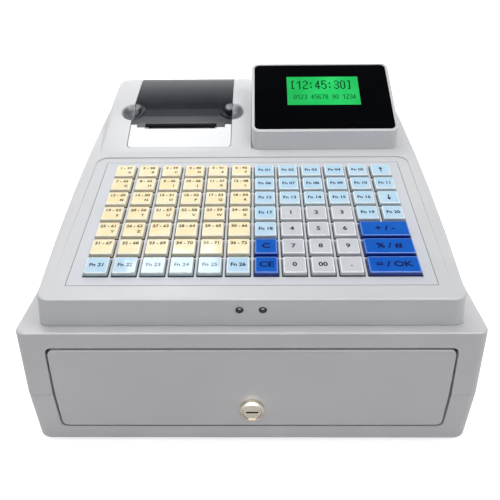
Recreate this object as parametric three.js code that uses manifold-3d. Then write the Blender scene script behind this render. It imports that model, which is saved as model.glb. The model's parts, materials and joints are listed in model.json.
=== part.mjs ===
// Counter-top cash register: a two-part plastic cabinet with one cash drawer, and on it a
// sloped keyboard housing that carries a paper printer at the left and a display pod at
// the right. Millimetres, X to the right, Y to the back, Z up. The origin is on the surface
// that the feet stand on, at the middle of the footprint.

import * as THREE from 'three';
import { mergeVertices } from 'three/addons/utils/BufferGeometryUtils.js';
import Module from 'manifold-3d';

const wasm = await Module();
wasm.setup();

// Clearances and cuts
const fitGap = 0.3;
const slideGap = 0.6;
const cutOverrun = 3;

// Facets of round shapes
const cornerSteps = 6;
const edgeSteps = 4;
const sideSteps = 5;
const roundSides = 16;
const smallSides = 10;

// Keys and keyboard plate
const keyColumns = 12;
const keyRows = 7;
const wideKeyCount = 3;
const keyPitch = 19.05;
const keyTopWidth = 14.97;
const keyTopDepth = 15.46;
const keyHeight = 3.3;
const keyShoulder = 0.7;
const keyBevel = 0.5;
const keyStem = 3.5;
const keyTravel = 3;
const ribWidth = 1.5;
const rowRibWidth = 1.2;
const webThickness = 1;
const webReachShare = 0.25;
const plateMarginLeft = 8.4;
const plateMarginRight = 7.1;
const plateMarginFront = 6.98;
const plateMarginBack = 6.65;
const plateOffset = 0.35;
const plateThickness = 2;
const plateReveal = 0.4;
const plateLedge = 3;
const plateLedgeThickness = 2;
const plateBossRadius = 1.8;
const plateBossShare = 0.82;
const boardThickness = 1.6;

// Keyboard deck and top housing
const deckTilt = THREE.MathUtils.degToRad(10.905);
const deckFrontMargin = 13.07;
const panelMarginSide = 9.45;
const panelMarginFront = 5;
const panelMarginBack = 7.65;
const panelCorner = 9;
const panelStep = 1;
const rimWidth = 7.3;
const rimRound = 1.4;
const lipHeight = 22.2;
const housingBulge = 4.2;
const housingTaper = 4;
const housingFlare = 2.4;
const housingRake = 1.6;
const housingCorner = 8;
const housingWall = 2.6;
const housingRearRound = 14;
const rimCrownSetback = 27;
const lampRadius = 2.5;
const lampProud = 1.2;
const lampSpacing = 15.1;
const lampHeight = 13.4;
const lampLength = 8;

// Printer
const humpGap = 4;
const humpShoulder = 6;
const humpMarginLeft = 23.6;
const humpMarginRight = 17.5;
const humpEdge = 5.5;
const humpFrontEdge = 3.5;
const humpLedge = 2.2;
const rampTilt = THREE.MathUtils.degToRad(23.6);
const rampDepth = 61;
const rampBlend = 24;
const crestTilt = THREE.MathUtils.degToRad(9);
const crestSetback = 26;
const crestLift = 1;
const crestDrop = 16;
const lidWidth = 91;
const lidThickness = 3.2;
const lidKnuckleRadius = 3.4;
const lidPinRadius = 1.5;
const lidEndTab = 6;
const lidSlotTab = 7.4;
const lidTabLength = 3.4;
const lidSlotRecess = 0.7;
const flapGap = 7.7;
const flapDepth = 22.3;
const flapCorner = 4;
const flapReveal = 0.5;
const slotDepth = 6;
const dishRadius = 11.3;
const dishLengthShare = 1.18;
const dishSink = 5.5;
const dishWall = 1.6;
const dishSetback = 15.8;
const bayWall = 2;
const bayFrontMargin = 5;
const platenRadius = 5;
const platenAxleRadius = 1.8;
const platenDrop = 9.6;
const platenSetback = 9;
const cheekThickness = 2;
const cheekDepth = 15;
const headThickness = 5;
const mechanismFoot = 8;
const rollRadius = 30;
const rollWidth = 57.5;
const rollBore = 6;
const rollFrontRoom = 3.3;
const rollBackRoom = 1.5;
const hingeSetback = 7.5;
const hingeRearWall = 20;
const pinBoss = 4;

// Display pod
const podSetback = 10.8;
const podShoulder = 12.5;
const podFaceHeight = 16.1;
const podSlopeLength = 87.6;
const podTilt = THREE.MathUtils.degToRad(26.5);
const podCrown = 2;
const podBackDepth = 18;
const podCorner = 7;
const podWall = 2.4;
const podSlopeWall = 4.6;
const bezelSide = 2.8;
const bezelFront = 3.2;
const bezelTop = 2;
const windowThickness = 2;
const windowSink = 0.4;
const windowCorner = 4.5;
const lcdWidth = 65.2;
const lcdHeight = 36.9;
const lcdFrame = 4;
const lcdThickness = 7;
const lcdSetback = 33.5;
const lcdOffset = 0.4;

// Boards and inlet in the housing
const mainBoardMargin = 9;
const mainBoardDepth = 92;
const mainBoardStandoff = 6;
const standoffRadius = 3;
const jackWidth = 9;
const jackHeight = 11;
const jackLength = 14;
const jackBore = 3.2;
const jackBoreDepth = 10;
const jackShare = 0.55;

// Cabinet
const housingSetback = 6.3;
const cabinetShoulder = 16.4;
const cabinetRearShelf = 11;
const cabinetHeight = 97.1;
const partingHeight = 44.3;
const draftShare = 0.028;
const cabinetCorner = 7;
const cabinetTopEdge = 1.6;
const cabinetBottomEdge = 3;
const cabinetFrontEdge = 1;
const cabinetWall = 2.6;
const footHeight = 4;
const footRadius = 9;
const footInset = 28;
const footRecess = 1;
const footEdge = 1;

// Drawer opening, front and tray
const stileWidth = 18.8;
const frameTop = 12.1;
const frameBottom = 13.1;
const openingCorner = 5;
const tunnelDepth = 14;
const tunnelWall = 2;
const drawerReveal = 1.6;
const drawerFrontThickness = 4;
const drawerSetback = 0.4;
const trayWall = 1.6;
const traySideRoom = 6;
const trayFloorRoom = 1.5;
const trayTopRoom = 5;
const trayRearRoom = 38;

// Rollers and rails
const rollerRadius = 7;
const rollerWidth = 5;
const rollerAxleRadius = 2;
const rollerInset = 14;
const rollerRise = 14;
const railThickness = 1.5;
const railFoot = 10;

// Cash insert and bill clips
const insertGap = 0.8;
const insertTopRoom = 4;
const insertFloor = 2;
const divider = 2;
const coinCups = 5;
const billPockets = 4;
const coinDepth = 78;
const clipPivotInset = 10;
const clipPivotRise = 16;
const clipAxleRadius = 1.5;
const clipAxleEnd = 0.6;
const clipHubRadius = 3.2;
const clipWidth = 14;
const clipLength = 62;
const clipThickness = 2;
const clipPadRadius = 1.8;

// Lock
const lockOffset = 0.5;
const lockHeight = 31.2;
const bezelRadius = 8.8;
const bezelHeight = 4.2;
const bezelRound = 1.2;
const barrelRadius = 7.9;
const plugRadius = 6.4;
const plugSink = 0.5;
const plugTailRadius = 2.4;
const keySlotWidth = 8.4;
const keySlotHeight = 1.4;
const keySlotDepth = 8;
const camThickness = 2;
const camWidth = 9;
const camFloorRoom = 3.4;

// Latch, solenoid and kick spring
const strikeHeight = 45;
const strikeReach = 8;
const strikeBarRadius = 1.5;
const strikeHalfWidth = 9;
const strikeEar = 1.6;
const latchPivotReach = 24;
const latchPivotRise = 5;
const latchPinRadius = 1.5;
const latchHubRadius = 3.5;
const latchWidth = 5;
const latchThickness = 3;
const latchNose = 3;
const latchHookOverlap = 1.5;
const plungerStroke = 2.5;
const plungerArm = 12;
const plungerRadius = 4;
const plungerPinRadius = 1;
const plungerShoulder = 4;
const plungerDepth = 18;
const solenoidHeight = 27;
const solenoidHalfWidth = 11;
const solenoidFront = 9;
const solenoidRear = 5;
const solenoidEar = 1.5;
const solenoidEarHalf = 4;
const kickOffset = 60;
const kickHeight = 30;
const kickRadius = 6;
const kickWire = 0.8;
const kickTurnCount = 7;
const kickStepsPerTurn = 8;
const kickSides = 5;
const spigotRadius = 3.5;
const spigotLength = 14;

// Places that follow from the sizes above, in the cabinet's frame: X 0 at the middle,
// Y 0 at the front top edge, Z 0 at the underside.
const plateWidth = keyColumns * keyPitch + plateMarginLeft + plateMarginRight;
const plateLength = keyRows * keyPitch + plateMarginFront + plateMarginBack;
const plateHalf = plateWidth / 2;
const plateFront = deckFrontMargin;
const plateBack = plateFront + plateLength;
const panelHalf = plateHalf + panelMarginSide;
const panelBack = plateBack + panelMarginBack;
const panelBackY = housingSetback + panelBack * Math.cos(deckTilt);
const housingHalf = panelHalf + rimWidth;
const cabinetHalf = housingHalf + cabinetShoulder;
const rimSlope = Math.tan(deckTilt) + panelStep / (panelBackY - housingSetback);

const humpFront = panelBackY + humpGap;
const humpLeft = humpShoulder - housingHalf;
const lidLeft = humpLeft + humpMarginLeft;
const lidRight = lidLeft + lidWidth;
const humpRight = lidRight + humpMarginRight;
const flapFront = humpFront + flapGap;
const slotFront = flapFront + flapDepth;
const slotBack = slotFront + slotDepth;
const platenY = slotFront + platenSetback;
const rollY = platenY + platenRadius + rollFrontRoom + rollRadius;
const bayFront = flapFront + bayFrontMargin;
const bayBack = rollY + rollRadius + rollBackRoom;
const hingeY = bayBack + hingeSetback;
const housingBack = hingeY + hingeRearWall;
const cabinetDepth = housingBack + cabinetRearShelf;

const housingBase = cabinetHeight + fitGap;
const deckZ = cabinetHeight + lipHeight;
const rampTopY = humpFront + rampDepth;
const bayFloor = housingBase + bayWall;

// Housing height at its rim, straight up to the crown near the back.
function rimZ(y) {
  return deckZ + (y - housingSetback) * rimSlope;
}

const humpFrontZ = rimZ(humpFront);
const rampTopZ = humpFrontZ + rampDepth * Math.tan(rampTilt);
const crestY = housingBack - crestSetback;
const crestZ = rampTopZ + (crestY - rampTopY) * Math.tan(crestTilt);

// Geometry helpers

function range(count) {
  return Array.from({ length: count }, (_, index) => index);
}

function toSolid(geometry) {
  const bare = geometry.clone();
  bare.deleteAttribute('normal');
  bare.deleteAttribute('uv');
  const shared = mergeVertices(bare);
  return new wasm.Manifold(new wasm.Mesh({
    numProp: 3,
    vertProperties: Float32Array.from(shared.attributes.position.array),
    triVerts: Uint32Array.from(shared.index.array),
  }));
}

function toGeometry(solid) {
  const mesh = solid.getMesh();
  const geometry = new THREE.BufferGeometry();
  geometry.setAttribute('position', new THREE.BufferAttribute(Float32Array.from(mesh.vertProperties), 3));
  geometry.setIndex(new THREE.BufferAttribute(Uint32Array.from(mesh.triVerts), 1));
  geometry.computeVertexNormals();
  return geometry;
}

function join(first, ...others) {
  return toGeometry(others.reduce((whole, other) => whole.add(toSolid(other)), toSolid(first)));
}

function cut(first, ...others) {
  return toGeometry(others.reduce((rest, other) => rest.subtract(toSolid(other)), toSolid(first)));
}

function common(first, ...others) {
  return toGeometry(others.reduce((shared, other) => shared.intersect(toSolid(other)), toSolid(first)));
}

function box(x0, x1, y0, y1, z0, z1) {
  const geometry = new THREE.BoxGeometry(x1 - x0, y1 - y0, z1 - z0);
  return geometry.translate((x0 + x1) / 2, (y0 + y1) / 2, (z0 + z1) / 2);
}

// A rod along one axis, from one place on it to another, at a place across it.
function rodX(radius, x0, x1, y, z, sides = roundSides) {
  const geometry = new THREE.CylinderGeometry(radius, radius, x1 - x0, sides);
  return geometry.rotateZ(Math.PI / 2).translate((x0 + x1) / 2, y, z);
}

function rodY(radius, y0, y1, x, z, sides = roundSides) {
  const geometry = new THREE.CylinderGeometry(radius, radius, y1 - y0, sides);
  return geometry.translate(x, (y0 + y1) / 2, z);
}

function rodZ(radius, z0, z1, x, y, sides = roundSides) {
  const geometry = new THREE.CylinderGeometry(radius, radius, z1 - z0, sides);
  return geometry.rotateX(Math.PI / 2).translate(x, y, (z0 + z1) / 2);
}

function shapeOf(points) {
  return new THREE.Shape(points.map(([a, b]) => new THREE.Vector2(a, b)));
}

function extrude(shape, depth) {
  return new THREE.ExtrudeGeometry(shape, { depth, bevelEnabled: false, curveSegments: cornerSteps });
}

// Prisms: the outline is drawn in (Y, Z), (X, Z) or (X, Y) and swept along the other axis.
function prismX(shape, x0, x1) {
  const turn = new THREE.Matrix4().set(0, 0, 1, x0, 1, 0, 0, 0, 0, 1, 0, 0, 0, 0, 0, 1);
  return extrude(shape, x1 - x0).applyMatrix4(turn);
}

function prismY(shape, y0, y1) {
  const turn = new THREE.Matrix4().set(1, 0, 0, 0, 0, 0, -1, y1, 0, 1, 0, 0, 0, 0, 0, 1);
  return extrude(shape, y1 - y0).applyMatrix4(turn);
}

function prismZ(shape, z0, z1) {
  return extrude(shape, z1 - z0).translate(0, 0, z0);
}

// The wall of a body through rings of points, all with the same count, in order.
function ringWall(rings) {
  const count = rings[0].length;
  return range(rings.length - 1).flatMap((ring) => range(count).flatMap((point) => {
    const a = ring * count + point;
    const b = ring * count + (point + 1) % count;
    return [a, b, b + count, a, b + count, a + count];
  }));
}

function closedBody(rings, capOf) {
  const last = (rings.length - 1) * rings[0].length;
  const caps = capOf(rings[0].length).flatMap(([a, b, c]) => [a, c, b, last + a, last + b, last + c]);
  const geometry = new THREE.BufferGeometry().setFromPoints(rings.flat());
  geometry.setIndex([...ringWall(rings), ...caps]);
  return geometry;
}

// A closed body through rings, with flat ends.
function loft(rings) {
  return closedBody(rings, (count) => range(count - 2).map((point) => [0, point + 1, point + 2]));
}

// The same for rings whose second half mirrors the first: each point is joined to its mirror
// image, so that an end may rise and fall along the ring.
function pairedLoft(rings) {
  return closedBody(rings, (count) => range(count / 2 - 1).flatMap((point) => {
    const far = count - 1 - point;
    return [[point, point + 1, far - 1], [point, far - 1, far]];
  }));
}

function roundedRing(x0, x1, y0, y1, radius, z, steps = cornerSteps) {
  const centres = [
    [x1 - radius, y1 - radius],
    [x0 + radius, y1 - radius],
    [x0 + radius, y0 + radius],
    [x1 - radius, y0 + radius],
  ];
  return centres.flatMap(([x, y], quarter) => range(steps + 1).map((step) => {
    const angle = (quarter + step / steps) * Math.PI / 2;
    return new THREE.Vector3(x + radius * Math.cos(angle), y + radius * Math.sin(angle), z);
  }));
}

function roundedRectangle(x0, x1, y0, y1, radius) {
  const shape = new THREE.Shape();
  shape.moveTo(x0 + radius, y0);
  shape.lineTo(x1 - radius, y0);
  shape.absarc(x1 - radius, y0 + radius, radius, -Math.PI / 2, 0);
  shape.lineTo(x1, y1 - radius);
  shape.absarc(x1 - radius, y1 - radius, radius, 0, Math.PI / 2);
  shape.lineTo(x0 + radius, y1);
  shape.absarc(x0 + radius, y1 - radius, radius, Math.PI / 2, Math.PI);
  shape.lineTo(x0, y0 + radius);
  shape.absarc(x0 + radius, y0 + radius, radius, Math.PI, 1.5 * Math.PI);
  return shape;
}

// The model: nested groups carry the cabinet's frame, the sloped deck and the pod's slope.

const model = new THREE.Group();
const cabinet = new THREE.Group();
const deck = new THREE.Group();
const podSlope = new THREE.Group();
deck.position.set(0, housingSetback, deckZ);
deck.rotation.x = deckTilt;
deck.updateMatrix();
model.add(cabinet);
cabinet.add(deck, podSlope);

function finish(color, roughness, metalness = 0) {
  return new THREE.MeshStandardMaterial({ color, roughness, metalness });
}

const finishes = {
  shell: finish(0xd9dadd, 0.5),
  housing: finish(0xe6e7ea, 0.48),
  plate: finish(0xd8d6dd, 0.5),
  creamKey: finish(0xf6e3b8, 0.35),
  skyKey: finish(0xb4d5ea, 0.35),
  blueKey: finish(0x2a63b8, 0.35),
  greyKey: finish(0xd2d3d8, 0.35),
  rubber: finish(0x2a2a2c, 0.85),
  black: finish(0x1c1d20, 0.5),
  smoked: finish(0x3a3c40, 0.25),
  glass: finish(0x08090c, 0.08),
  lcd: finish(0x2fd06a, 0.4),
  board: finish(0x1f5a38, 0.5),
  steel: finish(0xb6b8bb, 0.35, 1),
  nickel: finish(0xc9c2b2, 0.22, 1),
  nylon: finish(0xe8e6df, 0.6),
  paper: finish(0xf7f6f2, 0.8),
  lamp: finish(0x24262a, 0.12),
};

function addPiece(name, geometry, material, parent = cabinet) {
  const mesh = new THREE.Mesh(geometry, material);
  mesh.name = name;
  parent.add(mesh);
  return mesh;
}

// Cabinet: an upper shell and a base that meet at the widest line, both drafted.

function draft(z) {
  const drop = z > partingHeight ? cabinetHeight - z : cabinetHeight - 2 * partingHeight + z;
  return draftShare * drop;
}

function sideHalf(z) {
  return cabinetHalf + draft(z);
}

function cabinetRing(z, insetX, insetY = insetX) {
  const half = sideHalf(z) - insetX;
  const front = insetY - draft(z);
  return roundedRing(-half, half, front, cabinetDepth - front, cabinetCorner, z);
}

function openingOutline(inset) {
  const low = frameBottom + inset;
  const high = cabinetHeight - frameTop - inset;
  const half = (z) => sideHalf(z) - stileWidth - inset;
  const corner = openingCorner;
  const shape = new THREE.Shape();
  shape.moveTo(corner - half(low), low);
  shape.lineTo(half(low) - corner, low);
  shape.quadraticCurveTo(half(low), low, half(low + corner), low + corner);
  shape.lineTo(half(partingHeight), partingHeight);
  shape.lineTo(half(high - corner), high - corner);
  shape.quadraticCurveTo(half(high), high, half(high) - corner, high);
  shape.lineTo(corner - half(high), high);
  shape.quadraticCurveTo(-half(high), high, -half(high - corner), high - corner);
  shape.lineTo(-half(partingHeight), partingHeight);
  shape.lineTo(-half(low + corner), low + corner);
  shape.quadraticCurveTo(-half(low), low, corner - half(low), low);
  return shape;
}

const cabinetFrontY = -draft(partingHeight);

function withDrawerTunnel(outer, inner) {
  const front = cabinetFrontY - cutOverrun;
  const collar = common(prismY(openingOutline(-tunnelWall), front, tunnelDepth), outer);
  const opening = prismY(openingOutline(0), front, tunnelDepth + cutOverrun);
  return cut(join(cut(outer, inner), collar), opening);
}

function makeCabinetShell() {
  const low = partingHeight + fitGap / 2;
  const edge = range(edgeSteps + 1).map((step) => {
    const angle = step / edgeSteps * Math.PI / 2;
    const rise = cabinetTopEdge * Math.sin(angle);
    return cabinetRing(cabinetHeight - cabinetTopEdge + rise, cabinetTopEdge * (1 - Math.cos(angle)));
  });
  const outer = loft([cabinetRing(low, 0), ...edge]);
  const inner = loft([
    cabinetRing(low - cutOverrun, cabinetWall),
    cabinetRing(cabinetHeight - cabinetWall, cabinetWall),
  ]);
  return withDrawerTunnel(outer, inner);
}

const feet = [-1, 1].flatMap((side) => [footInset, cabinetDepth - footInset].map((y) => ({
  x: side * (cabinetHalf - footInset),
  y,
})));

function makeCabinetBase() {
  const high = partingHeight - fitGap / 2;
  const innerEdge = Math.max(cabinetBottomEdge - cabinetWall, fitGap);
  const bottomRings = (floor, radius, inset) => range(edgeSteps + 1).map((step) => {
    const angle = (1 - step / edgeSteps) * Math.PI / 2;
    const tuck = 1 - Math.cos(angle);
    const z = floor + radius * (1 - Math.sin(angle));
    return cabinetRing(z, inset + radius * tuck, inset + cabinetFrontEdge * tuck);
  });
  const outer = loft([...bottomRings(0, cabinetBottomEdge, 0), cabinetRing(high, 0)]);
  const inner = loft([
    ...bottomRings(cabinetWall, innerEdge, cabinetWall),
    cabinetRing(high + cutOverrun, cabinetWall),
  ]);
  const rearWall = cabinetDepth + draft(kickHeight) - cabinetWall;
  const spigot = rodY(spigotRadius, rearWall - spigotLength, rearWall + cabinetWall / 2,
    kickOffset, kickHeight, smallSides);
  const recesses = feet.map(({ x, y }) => rodZ(footRadius + fitGap, -cutOverrun, footRecess, x, y));
  return cut(join(withDrawerTunnel(outer, inner), spigot), ...recesses);
}

function makeFoot({ x, y }) {
  const edge = footEdge;
  const profile = [
    [0, -footHeight],
    [footRadius - edge, -footHeight],
    [footRadius, edge - footHeight],
    [footRadius, footRecess - fitGap],
    [0, footRecess - fitGap],
  ].map(([r, z]) => new THREE.Vector2(r, z));
  return new THREE.LatheGeometry(profile, roundSides).rotateX(Math.PI / 2).translate(x, y, 0);
}

addPiece('cabinet_shell', makeCabinetShell(), finishes.shell);
addPiece('cabinet_base', makeCabinetBase(), finishes.shell);
const footNames = ['foot_front_left', 'foot_rear_left', 'foot_front_right', 'foot_rear_right'];
feet.forEach((place, index) => addPiece(footNames[index], makeFoot(place), finishes.rubber));

// Drawer front, tray and what runs on the rails.

const drawerFace = cabinetFrontY + drawerSetback;
const trayHalf = Math.min(sideHalf(frameBottom), sideHalf(cabinetHeight)) - stileWidth - traySideRoom;
const trayBottom = frameBottom + trayFloorRoom;
const trayTop = cabinetHeight - frameTop - trayTopRoom;
const trayFront = drawerFace + drawerFrontThickness + fitGap;
const trayBack = cabinetDepth - cabinetWall - trayRearRoom;
const rollerY = trayBack - rollerInset;
const rollerZ = trayBottom + rollerRise;
const rollerInner = trayHalf + slideGap;
const rollerOuter = rollerInner + rollerWidth;
const camFront = tunnelDepth + slideGap;
const camReach = lockHeight - cabinetWall - camFloorRoom;
const camBack = camFront + fitGap + camThickness;

function makeDrawerFront() {
  const slab = prismY(openingOutline(drawerReveal), drawerFace, drawerFace + drawerFrontThickness);
  const lockHole = rodY(barrelRadius + fitGap, drawerFace - cutOverrun,
    drawerFace + drawerFrontThickness + cutOverrun, lockOffset, lockHeight);
  return cut(slab, lockHole);
}

function makeDrawerTray() {
  const outer = box(-trayHalf, trayHalf, trayFront, trayBack, trayBottom, trayTop);
  const inner = box(trayWall - trayHalf, trayHalf - trayWall, trayFront + trayWall, trayBack - trayWall,
    trayBottom + trayWall, trayTop + cutOverrun);
  const lockHole = rodY(barrelRadius + fitGap, trayFront - cutOverrun, trayFront + trayWall + cutOverrun,
    lockOffset, lockHeight);
  const camSlot = box(lockOffset - camWidth / 2 - slideGap, lockOffset + camReach + slideGap,
    camFront - slideGap, camBack + slideGap, trayBottom - cutOverrun, trayBottom + trayWall + cutOverrun);
  const axles = [-1, 1].map((side) => {
    const ends = [side * (trayHalf - trayWall / 2), side * (rollerOuter + slideGap)].sort((a, b) => a - b);
    return rodX(rollerAxleRadius, ends[0], ends[1], rollerY, rollerZ, smallSides);
  });
  const earTop = strikeHeight + 2 * strikeBarRadius;
  const earLow = strikeHeight - 2 * strikeBarRadius;
  const earBack = trayBack + strikeReach + 2 * strikeBarRadius;
  const ears = [-1, 1].map((side) => {
    const middle = side * (strikeHalfWidth + strikeEar / 2);
    return box(middle - strikeEar / 2, middle + strikeEar / 2, trayBack - trayWall / 2, earBack,
      earLow, earTop);
  });
  const bar = rodX(strikeBarRadius, -strikeHalfWidth - strikeEar / 2, strikeHalfWidth + strikeEar / 2,
    trayBack + strikeReach, strikeHeight, smallSides);
  return join(cut(outer, inner, lockHole, camSlot), ...axles, ...ears, bar);
}

function makeRoller(side) {
  const ends = [side * rollerInner, side * rollerOuter].sort((a, b) => a - b);
  const wheel = rodX(rollerRadius, ends[0], ends[1], rollerY, rollerZ);
  const bore = rodX(rollerAxleRadius + fitGap, ends[0] - cutOverrun, ends[1] + cutOverrun, rollerY, rollerZ,
    smallSides);
  return cut(wheel, bore);
}

// One rail: a foot on the base, an upright and a channel that the roller runs in.
function makeRail(side) {
  const web = rollerOuter + 2 * slideGap;
  const trackTop = rollerZ - rollerRadius - fitGap;
  const capLow = rollerZ + rollerRadius + slideGap;
  const footLow = cabinetWall + fitGap;
  const outline = [
    [rollerInner, trackTop - railThickness],
    [web, trackTop - railThickness],
    [web, footLow],
    [web + railFoot, footLow],
    [web + railFoot, footLow + railThickness],
    [web + railThickness, footLow + railThickness],
    [web + railThickness, capLow + railThickness],
    [rollerInner, capLow + railThickness],
    [rollerInner, capLow],
    [web, capLow],
    [web, trackTop],
    [rollerInner, trackTop],
  ].map(([x, z]) => [side * x, z]);
  return prismY(shapeOf(outline), tunnelDepth + 2 * slideGap, trayBack);
}

addPiece('drawer_front', makeDrawerFront(), finishes.shell);
addPiece('drawer_tray', makeDrawerTray(), finishes.steel);
addPiece('tray_roller_left', makeRoller(-1), finishes.nylon);
addPiece('tray_roller_right', makeRoller(1), finishes.nylon);
addPiece('slide_rail_left', makeRail(-1), finishes.steel);
addPiece('slide_rail_right', makeRail(1), finishes.steel);

// Cash insert: a row of coin cups in front and a row of bill pockets with clips behind.

const insertHalf = trayHalf - trayWall - insertGap;
const insertFront = camBack + 2 * insertGap;
const insertBack = trayBack - trayWall - insertGap;
const insertBottom = trayBottom + trayWall + fitGap;
const insertTop = trayTop - insertTopRoom;
const pocketFloor = insertBottom + insertFloor;
const billFront = insertFront + divider + coinDepth + divider;
const billBack = insertBack - divider;
const clipPivotY = billBack - clipPivotInset;
const clipPivotZ = pocketFloor + clipPivotRise;

function pocketSpans(count) {
  const width = (2 * insertHalf - (count + 1) * divider) / count;
  return range(count).map((index) => {
    const left = divider - insertHalf + index * (width + divider);
    return [left, left + width];
  });
}

function makeCashInsert() {
  const block = box(-insertHalf, insertHalf, insertFront, insertBack, insertBottom, insertTop);
  const high = insertTop + cutOverrun;
  const cups = pocketSpans(coinCups).map(([x0, x1]) => box(x0, x1, insertFront + divider,
    insertFront + divider + coinDepth, pocketFloor, high));
  const pockets = pocketSpans(billPockets).map(([x0, x1]) => box(x0, x1, billFront, billBack,
    pocketFloor, high));
  const axleBore = rodX(clipAxleRadius + fitGap, -insertHalf - cutOverrun, insertHalf + cutOverrun,
    clipPivotY, clipPivotZ, smallSides);
  return cut(block, ...cups, ...pockets, axleBore);
}

function makeBillClip([x0, x1]) {
  const middle = (x0 + x1) / 2;
  const drop = clipPivotRise - clipPadRadius - fitGap;
  const slope = Math.asin(drop / clipLength);
  const half = clipWidth / 2;
  const arm = box(-half, half, -clipLength, 0, -clipThickness / 2, clipThickness / 2);
  const pad = rodX(clipPadRadius, -half, half, -clipLength, 0, smallSides);
  const hub = rodX(clipHubRadius, -half, half, 0, 0, smallSides);
  const blade = join(arm, pad, hub).rotateX(slope).translate(middle, clipPivotY, clipPivotZ);
  const axle = rodX(clipAxleRadius, x0 - clipAxleEnd, x1 + clipAxleEnd, clipPivotY, clipPivotZ, smallSides);
  return join(blade, axle);
}

addPiece('cash_insert', makeCashInsert(), finishes.black);
pocketSpans(billPockets).forEach((span, index) => {
  addPiece(`bill_clip_${index + 1}`, makeBillClip(span), finishes.steel);
});

// Lock: a barrel in the drawer front, a plug that turns in it and a cam on the plug's tail.

const bezelFace = drawerFace - fitGap;
const bezelFront0 = bezelFace - bezelHeight;
const barrelBack = camFront;

function makeLockBarrel() {
  const profile = [
    [0, bezelFront0],
    [bezelRadius - bezelRound, bezelFront0],
    [bezelRadius, bezelFront0 + bezelRound],
    [bezelRadius, bezelFace],
    [barrelRadius, bezelFace],
    [barrelRadius, barrelBack],
    [0, barrelBack],
  ].map(([r, y]) => new THREE.Vector2(r, y));
  const body = new THREE.LatheGeometry(profile, 2 * roundSides).translate(lockOffset, 0, lockHeight);
  const bore = rodY(plugRadius + fitGap, bezelFront0 - cutOverrun, barrelBack + cutOverrun,
    lockOffset, lockHeight);
  return cut(body, bore);
}

function makeLockPlug() {
  const front = bezelFront0 + plugSink;
  const body = rodY(plugRadius, front, barrelBack - fitGap, lockOffset, lockHeight);
  const tail = rodY(plugTailRadius, barrelBack - 2 * fitGap, camBack, lockOffset, lockHeight, smallSides);
  const slot = box(lockOffset - keySlotWidth / 2, lockOffset + keySlotWidth / 2, front - cutOverrun,
    front + keySlotDepth, lockHeight - keySlotHeight / 2, lockHeight + keySlotHeight / 2);
  return cut(join(body, tail), slot);
}

function makeLockCam() {
  const half = camWidth / 2;
  const front = camFront + fitGap;
  const hub = rodY(half, front, camBack, lockOffset, lockHeight);
  const arm = box(lockOffset, lockOffset + camReach, front, camBack, lockHeight - half, lockHeight + half);
  const bore = rodY(plugTailRadius + fitGap, front - cutOverrun, camBack + cutOverrun, lockOffset,
    lockHeight, smallSides);
  return cut(join(hub, arm), bore);
}

addPiece('lock_barrel', makeLockBarrel(), finishes.nickel);
addPiece('lock_plug', makeLockPlug(), finishes.nickel);
addPiece('lock_cam', makeLockCam(), finishes.steel);

// Latch behind the tray, drawn as the solenoid holds it open.

const releaseAngle = plungerStroke / plungerArm;
const latchY = trayBack + latchPivotReach;
const latchZ = strikeHeight + latchPivotRise;
const plungerY = latchY - plungerArm;
const solenoidTop = cabinetWall + solenoidHeight;

function makeLatchLever() {
  const half = latchWidth / 2;
  const noseBack = strikeReach - strikeBarRadius - slideGap - latchPivotReach;
  const noseFront = noseBack - latchNose;
  const noseLow = -latchPivotRise - latchHookOverlap;
  const arm = box(-half, half, noseFront, 0, -latchThickness / 2, latchThickness / 2);
  const nose = box(-half, half, noseFront, noseBack, noseLow, 0);
  const hub = rodX(latchHubRadius, -half, half, 0, 0, smallSides);
  const bore = rodX(latchPinRadius + fitGap, -half - cutOverrun, half + cutOverrun, 0, 0, smallSides);
  return cut(join(arm, nose, hub), bore).rotateX(-releaseAngle).translate(0, latchY, latchZ);
}

function makeSolenoid() {
  const body = box(-solenoidHalfWidth, solenoidHalfWidth, plungerY - solenoidFront, latchY + solenoidRear,
    cabinetWall + fitGap, solenoidTop);
  const bore = rodZ(plungerRadius + fitGap, solenoidTop - plungerDepth - plungerStroke - slideGap,
    solenoidTop + cutOverrun, 0, plungerY);
  const earInner = latchWidth / 2 + slideGap;
  const ears = [-1, 1].map((side) => {
    const middle = side * (earInner + solenoidEar / 2);
    return box(middle - solenoidEar / 2, middle + solenoidEar / 2, latchY - solenoidEarHalf,
      latchY + solenoidEarHalf, solenoidTop - solenoidEar, latchZ + solenoidEarHalf);
  });
  const pinHalf = earInner + solenoidEar;
  const pin = rodX(latchPinRadius, -pinHalf, pinHalf, latchY, latchZ, smallSides);
  return join(cut(body, bore), ...ears, pin);
}

function makePlunger() {
  const reach = (plungerArm - plungerPinRadius) * Math.tan(releaseAngle);
  const top = latchZ + reach - latchThickness / 2 / Math.cos(releaseAngle) - fitGap;
  const shoulder = solenoidTop + plungerShoulder;
  const core = rodZ(plungerRadius, solenoidTop - plungerDepth, shoulder, 0, plungerY);
  const pin = rodZ(plungerPinRadius, shoulder - plungerPinRadius, top, 0, plungerY, smallSides);
  return join(core, pin);
}

class Helix extends THREE.Curve {
  constructor(radius, start, end, turns, x, z) {
    super();
    Object.assign(this, { radius, start, end, turns, x, z });
  }

  getPoint(share, target = new THREE.Vector3()) {
    const angle = share * this.turns * 2 * Math.PI;
    return target.set(
      this.x + this.radius * Math.cos(angle),
      this.start + share * (this.end - this.start),
      this.z + this.radius * Math.sin(angle),
    );
  }
}

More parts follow.
